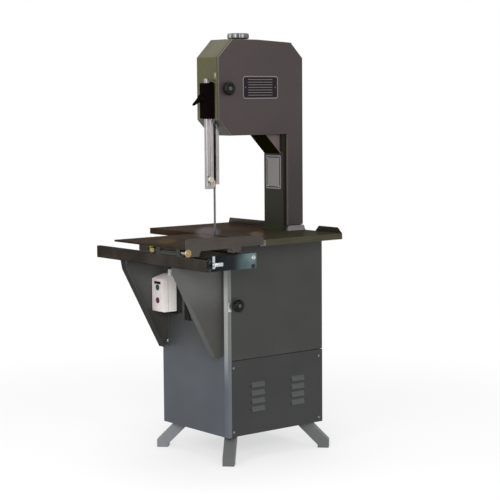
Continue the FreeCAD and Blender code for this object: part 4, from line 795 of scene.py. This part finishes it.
# corner trim on the cabinet's left side
trimShape = {"width": 0.024, "thickness": 0.0008, "top": 0.83, "round": 0.0003}
low, high, middle = boxOf("cabinet_shell")
bm = bmesh.new()
blockShape(bm, (low.x - trimShape["thickness"], low.y, low.z),
           (low.x, low.y + trimShape["width"], trimShape["top"]), trimShape["round"])
addPiece("corner_trim", bm, "cabinet_shell", "trimPaint")
print("badge, bolts and trim done")

# notice plate: a thin raised border and four rivets, nothing written
noticeShape = {"border": 0.004, "inset": 0.006, "raise": 0.0006, "sunk": 0.0004, "round": 0.0003,
               "rivetInset": 0.012, "rivetSteps": 20,
               "rivet": ((0, -0.0004), (0.0026, -0.0004), (0.0026, 0.0003), (0.0026 * 0.6, 0.0011),
                         (0, 0.0013))}
low, high, middle = boxOf("notice_plate")
bm = bmesh.new()
inset, wide = noticeShape["inset"], noticeShape["border"]
left, right, foot, top = low.y + inset, high.y - inset, low.z + inset, high.z - inset
for y0, y1, z0, z1 in ((left, right, top - wide, top), (left, right, foot, foot + wide),
                       (left, left + wide, foot + wide, top - wide),
                       (right - wide, right, foot + wide, top - wide)):
    blockShape(bm, (low.x - noticeShape["raise"], y0, z0), (low.x + noticeShape["sunk"], y1, z1),
               noticeShape["round"])
addPiece("notice_border", bm, "notice_plate", "darkPlate")
bm = bmesh.new()
inset = noticeShape["rivetInset"]
for y in (low.y + inset, high.y - inset):
    for z in (low.z + inset, high.z - inset):
        spinShape(bm, noticeShape["rivet"], (low.x, y, z), (-1, 0, 0), noticeShape["rivetSteps"])
addPiece("notice_rivets", bm, "notice_plate", "zinc")

# clamp lever: a bent handle, thick at its hub and thin at its tip; each step is (forward, up, thickness)
leverShape = {"hub": 0.012, "half": 0.007, "hubSteps": 40, "sides": 16, "slant": (0.5, 0.87),
              "hubOutline": ((0, 0), (0.9, 0), (1, 0.0012), (1, 0.0112), (0.85, 0.0132), (0.5, 0.0136),
                             (0, 0.0136)),
              "path": ((-0.002, 0.004, 0.014), (-0.008, -0.003, 0.0125), (-0.018, -0.009, 0.0095),
                       (-0.029, -0.015, 0.0075), (-0.04, -0.021, 0.006), (-0.045, -0.025, 0.0028)),
              "lobe": ((0.004, 0.008, 0.011), (0.007, 0.016, 0.0085), (0.008, 0.022, 0.004))}
low, high, middle = boxOf("clamp_lever")
stud = boxOf("clamp_stud")[2]
bm = bmesh.new()
spinShape(bm, [(wide * leverShape["hub"], deep) for wide, deep in leverShape["hubOutline"]],
          (high.x, stud.y, stud.z), (-1, 0, 0), leverShape["hubSteps"])
sides = leverShape["sides"]
slantY, slantZ = leverShape["slant"]
for points in (leverShape["path"], leverShape["lobe"]):
    rings = []
    for away, up, size in points:
        ring = []
        for step in range(sides):
            angle = 2 * math.pi * step / sides
            ring.append(bm.verts.new((middle.x - leverShape["half"] * math.cos(angle),
                                      stud.y - away + size * slantY * math.sin(angle),
                                      stud.z + up + size * slantZ * math.sin(angle))))
        rings.append(ring)
    for first, second in zip(rings, rings[1:]):
        for step in range(sides):
            after = (step + 1) % sides
            bm.faces.new((first[step], first[after], second[after], second[step]))
    bm.faces.new(rings[0])
    bm.faces.new(rings[-1])
addPiece("clamp_lever_arm", bm, "clamp_lever", "clampPlastic", True)

# saw teeth along the band; those over the upper wheel go with its carrier
# a tooth's corners: parts of the pitch along the band, and metres back from the band's front edge
toothShape = {"pitch": 0.008, "half": 0.0004, "narrowing": 0.98, "joinRoom": 0.0065,
              "corners": ((0.05, 0.0004), (0.95, 0.0004), (0.2, -0.0035))}
bandLow, bandHigh, bandMiddle = boxOf("saw_blade")
bandRadius = (bandHigh.x - bandLow.x) / 2 - toothShape["half"]
top = bandHigh.z - bandRadius - toothShape["half"]
bottom = bandLow.z + bandRadius + toothShape["half"]
straight = top - bottom
arc = math.pi * bandRadius


def bandPoint(length):
    # place and outward way on the band, starting at the lower end of its cutting run
    if length < straight:
        return Vector((bandMiddle.x - bandRadius, 0, bottom + length)), Vector((-1, 0, 0))
    length -= straight
    if length < arc:
        out = Vector((-math.cos(length / bandRadius), 0, math.sin(length / bandRadius)))
        return Vector((bandMiddle.x, 0, top)) + out * bandRadius, out
    length -= arc
    if length < straight:
        return Vector((bandMiddle.x + bandRadius, 0, top - length)), Vector((1, 0, 0))
    length -= straight
    out = Vector((math.cos(length / bandRadius), 0, -math.sin(length / bandRadius)))
    return Vector((bandMiddle.x, 0, bottom)) + out * bandRadius, out


count = round((2 * straight + 2 * arc) / toothShape["pitch"])
pitch = (2 * straight + 2 * arc) / count
bm, upper = bmesh.new(), bmesh.new()
for tooth in range(count):
    place = (tooth + 0.5) * pitch
    if min(abs(place - straight), abs(place - straight - arc)) < toothShape["joinRoom"]:
        continue  # room for the carrier's travel
    over = straight < place < straight + arc
    mesh = upper if over else bm
    corners = []
    for along, back in toothShape["corners"]:
        spot, out = bandPoint((tooth + along) * pitch)
        spot.y = bandLow.y + back
        corners.append((spot, out))
    sides = [[mesh.verts.new(spot + out * side * toothShape["half"] * toothShape["narrowing"])
              for spot, out in corners] for side in (-1, 1)]
    mesh.faces.new(sides[0])
    mesh.faces.new(sides[1])
    for index in range(3):
        after = (index + 1) % 3
        mesh.faces.new((sides[0][index], sides[0][after], sides[1][after], sides[1][index]))
addPiece("blade_teeth", bm, "saw_blade", "bladeSteel", body="base", smoothBelow=20)
addPiece("blade_teeth_top", upper, "saw_blade", "bladeSteel", body="upper_carrier", smoothBelow=20)
print("notice plate, lever and teeth done")

# switch box: a bezel round each button, a dark strip above them and a lid seam
boxShape = {"bezelOut": 0.0125, "bezelIn": 0.0086, "bezelRise": 0.0022, "bezelSunk": 0.0005,
            "bezelSteps": 40, "outerSlope": 0.001, "innerSlope": 0.0008,
            "strip": (0.02, 0.064), "stripSpan": (0.0395, 0.0285), "stripRise": 0.0006,
            "stripSunk": 0.0012, "stripRound": 0.0004,
            "seamPlace": 0.024, "seamWidth": 0.0012, "seamRise": 0.0003, "seamSunk": 0.001,
            "seamEnds": (0.004, 0.014), "seamRound": 0.0002}
low, high, middle = boxOf("switch_box")
outer, inner, rise, sunk = (boxShape[key] for key in ("bezelOut", "bezelIn", "bezelRise", "bezelSunk"))
bezel = ((inner, -sunk), (outer, -sunk), (outer, rise * 0.5), (outer - boxShape["outerSlope"], rise),
         (inner + boxShape["innerSlope"], rise), (inner, rise * 0.7), (inner, -sunk))
bm = bmesh.new()
for node in ("start_button", "stop_button"):
    spot = boxOf(node)[2]
    spinShape(bm, bezel, (low.x, spot.y, spot.z), (-1, 0, 0), boxShape["bezelSteps"])
addPiece("switch_bezels", bm, "switch_box", "bezelMetal")
bm = bmesh.new()
front, back = boxShape["strip"]
foot, top = boxShape["stripSpan"]
blockShape(bm, (low.x - boxShape["stripRise"], low.y + front, high.z - foot),
           (low.x + boxShape["stripSunk"], low.y + back, high.z - top), boxShape["stripRound"])
addPiece("switch_strip", bm, "switch_box", "darkPlate")
bm = bmesh.new()
left = low.x + boxShape["seamPlace"]
right = left + boxShape["seamWidth"]
foot, top = boxShape["seamEnds"]
rise, sunk = boxShape["seamRise"], boxShape["seamSunk"]
for front, back in ((low.y - rise, low.y + sunk), (high.y - sunk, high.y + rise)):
    blockShape(bm, (left, front, low.z + foot), (right, back, high.z - top), boxShape["seamRound"])
addPiece("switch_seam", bm, "switch_box", "seamShade")

# a lighter stiffener down the bracket's front edge
stiffenerShape = {"rise": 0.0012, "sunk": 0.002, "front": 0.0605, "back": 0.0745, "foot": 0.001,
                  "top": 0.738, "round": 0.0005}
low, high, middle = boxOf("switch_bracket")
bm = bmesh.new()
blockShape(bm, (low.x - stiffenerShape["rise"], stiffenerShape["front"], low.z + stiffenerShape["foot"]),
           (low.x + stiffenerShape["sunk"], stiffenerShape["back"], stiffenerShape["top"]),
           stiffenerShape["round"])
addPiece("bracket_stiffener", bm, "switch_bracket", "bracketPaint")
print("switch box done")

# the rest of the solids take their finish as they are
plainFinish = {"louvre_screws": "paleMetal", "cable_glands": "whitePlastic", "start_button": "greenPlastic",
               "stop_button": "redPlastic", "roller_inner_front": "brass", "roller_inner_rear": "brass",
               "roller_outer_front": "brass", "roller_outer_rear": "brass", "tension_screw": "zinc",
               "drive_belt": "rubber", "saw_blade": "bladeSteel"}
for node, finish in plainFinish.items():
    mesh = frame["nodes"][node].data
    mesh.materials.clear()
    mesh.materials.append(finishes[finish])
print("carried-over solids:", len(plainFinish))


def plainlySeen(tree):
    # 1 for what the camera, a reflection or a clear piece shows, 0 for light that falls on the object
    path = addNode(tree, "ShaderNodeLightPath")
    seen = mathNode(tree, "MAXIMUM", path.outputs["Is Camera Ray"], path.outputs["Is Glossy Ray"])
    return mathNode(tree, "MAXIMUM", seen, path.outputs["Is Transmission Ray"])


# a pale floor that takes the shadow near the object and blends to plain white away from it
floorShape = {"radius": 14.0, "steps": 96, "drop": 0.0005, "colour": (0.86, 0.86, 0.86, 1), "rough": 0.9,
              "clear": 0.9, "blend": 2.8, "nearWhite": 0.6}
bm = bmesh.new()
bmesh.ops.create_circle(bm, cap_ends=True, segments=floorShape["steps"], radius=floorShape["radius"])
mesh = bpy.data.meshes.new("floor")
bm.to_mesh(mesh)
bm.free()
floor = bpy.data.objects.new("floor", mesh)
floor.location.z = -floorShape["drop"]
scene.collection.objects.link(floor)
floor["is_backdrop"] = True
material = bpy.data.materials.new("paleFloor")
material.use_nodes = True
tree = material.node_tree
shader = tree.nodes["Principled BSDF"]
shader.inputs["Base Color"].default_value = floorShape["colour"]
shader.inputs["Roughness"].default_value = floorShape["rough"]
shader.inputs["Specular IOR Level"].default_value = 0.0
place = addNode(tree, "ShaderNodeTexCoord")
distance = addNode(tree, "ShaderNodeVectorMath", {"operation": "LENGTH"})
tree.links.new(place.outputs["Object"], distance.inputs[0])
away = rangeNode(tree, distance.outputs["Value"], floorShape["clear"], floorShape["blend"],
                 floorShape["nearWhite"], 1.0)
white = addNode(tree, "ShaderNodeEmission", None, Color=(1, 1, 1, 1), Strength=1.0)
mix = addNode(tree, "ShaderNodeMixShader")
tree.links.new(mathNode(tree, "MULTIPLY", away, plainlySeen(tree)), mix.inputs[0])
tree.links.new(shader.outputs[0], mix.inputs[1])
tree.links.new(white.outputs[0], mix.inputs[2])
tree.links.new(mix.outputs[0], tree.nodes["Material Output"].inputs["Surface"])
mesh.materials.append(material)

# a white studio: full strength where it is seen, softer where it lights the object
studioLight = {"onObject": 0.55, "seen": 1.0}
world = bpy.data.worlds.new("studio")
scene.world = world
world.use_nodes = True
tree = world.node_tree
background = tree.nodes["Background"]
background.inputs["Color"].default_value = (1, 1, 1, 1)
strength = rangeNode(tree, plainlySeen(tree), 0.0, 1.0, studioLight["onObject"], studioLight["seen"])
tree.links.new(strength, background.inputs["Strength"])

# soft round lamps, in metres and watts: the two at the left do most of the work
lamps = {
    "keyLamp": {"place": (-4.2, -1.6, 2.6), "aim": (0.0, 0.0, 0.9), "size": 2.6, "power": 80},
    "fillLamp": {"place": (-3.3, -4.4, 2.2), "aim": (0.0, 0.0, 0.8), "size": 2.4, "power": 190},
    "frontLamp": {"place": (-0.6, -4.6, 2.4), "aim": (0.1, 0.0, 1.0), "size": 2.2, "power": 40},
    "topLamp": {"place": (0.2, 0.4, 4.4), "aim": (0.1, 0.0, 0.9), "size": 3.0, "power": 60},
}
for name, lamp in lamps.items():
    light = bpy.data.lights.new(name, "AREA")
    light.shape = "DISK"
    light.size = lamp["size"]
    light.energy = lamp["power"]
    holder = bpy.data.objects.new(name, light)
    holder.location = lamp["place"]
    holder.rotation_euler = (Vector(lamp["aim"]) - Vector(lamp["place"])).to_track_quat("-Z", "Y").to_euler()
    scene.collection.objects.link(holder)
scene.view_settings.view_transform = "Standard"
print("stage ready")

low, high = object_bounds()
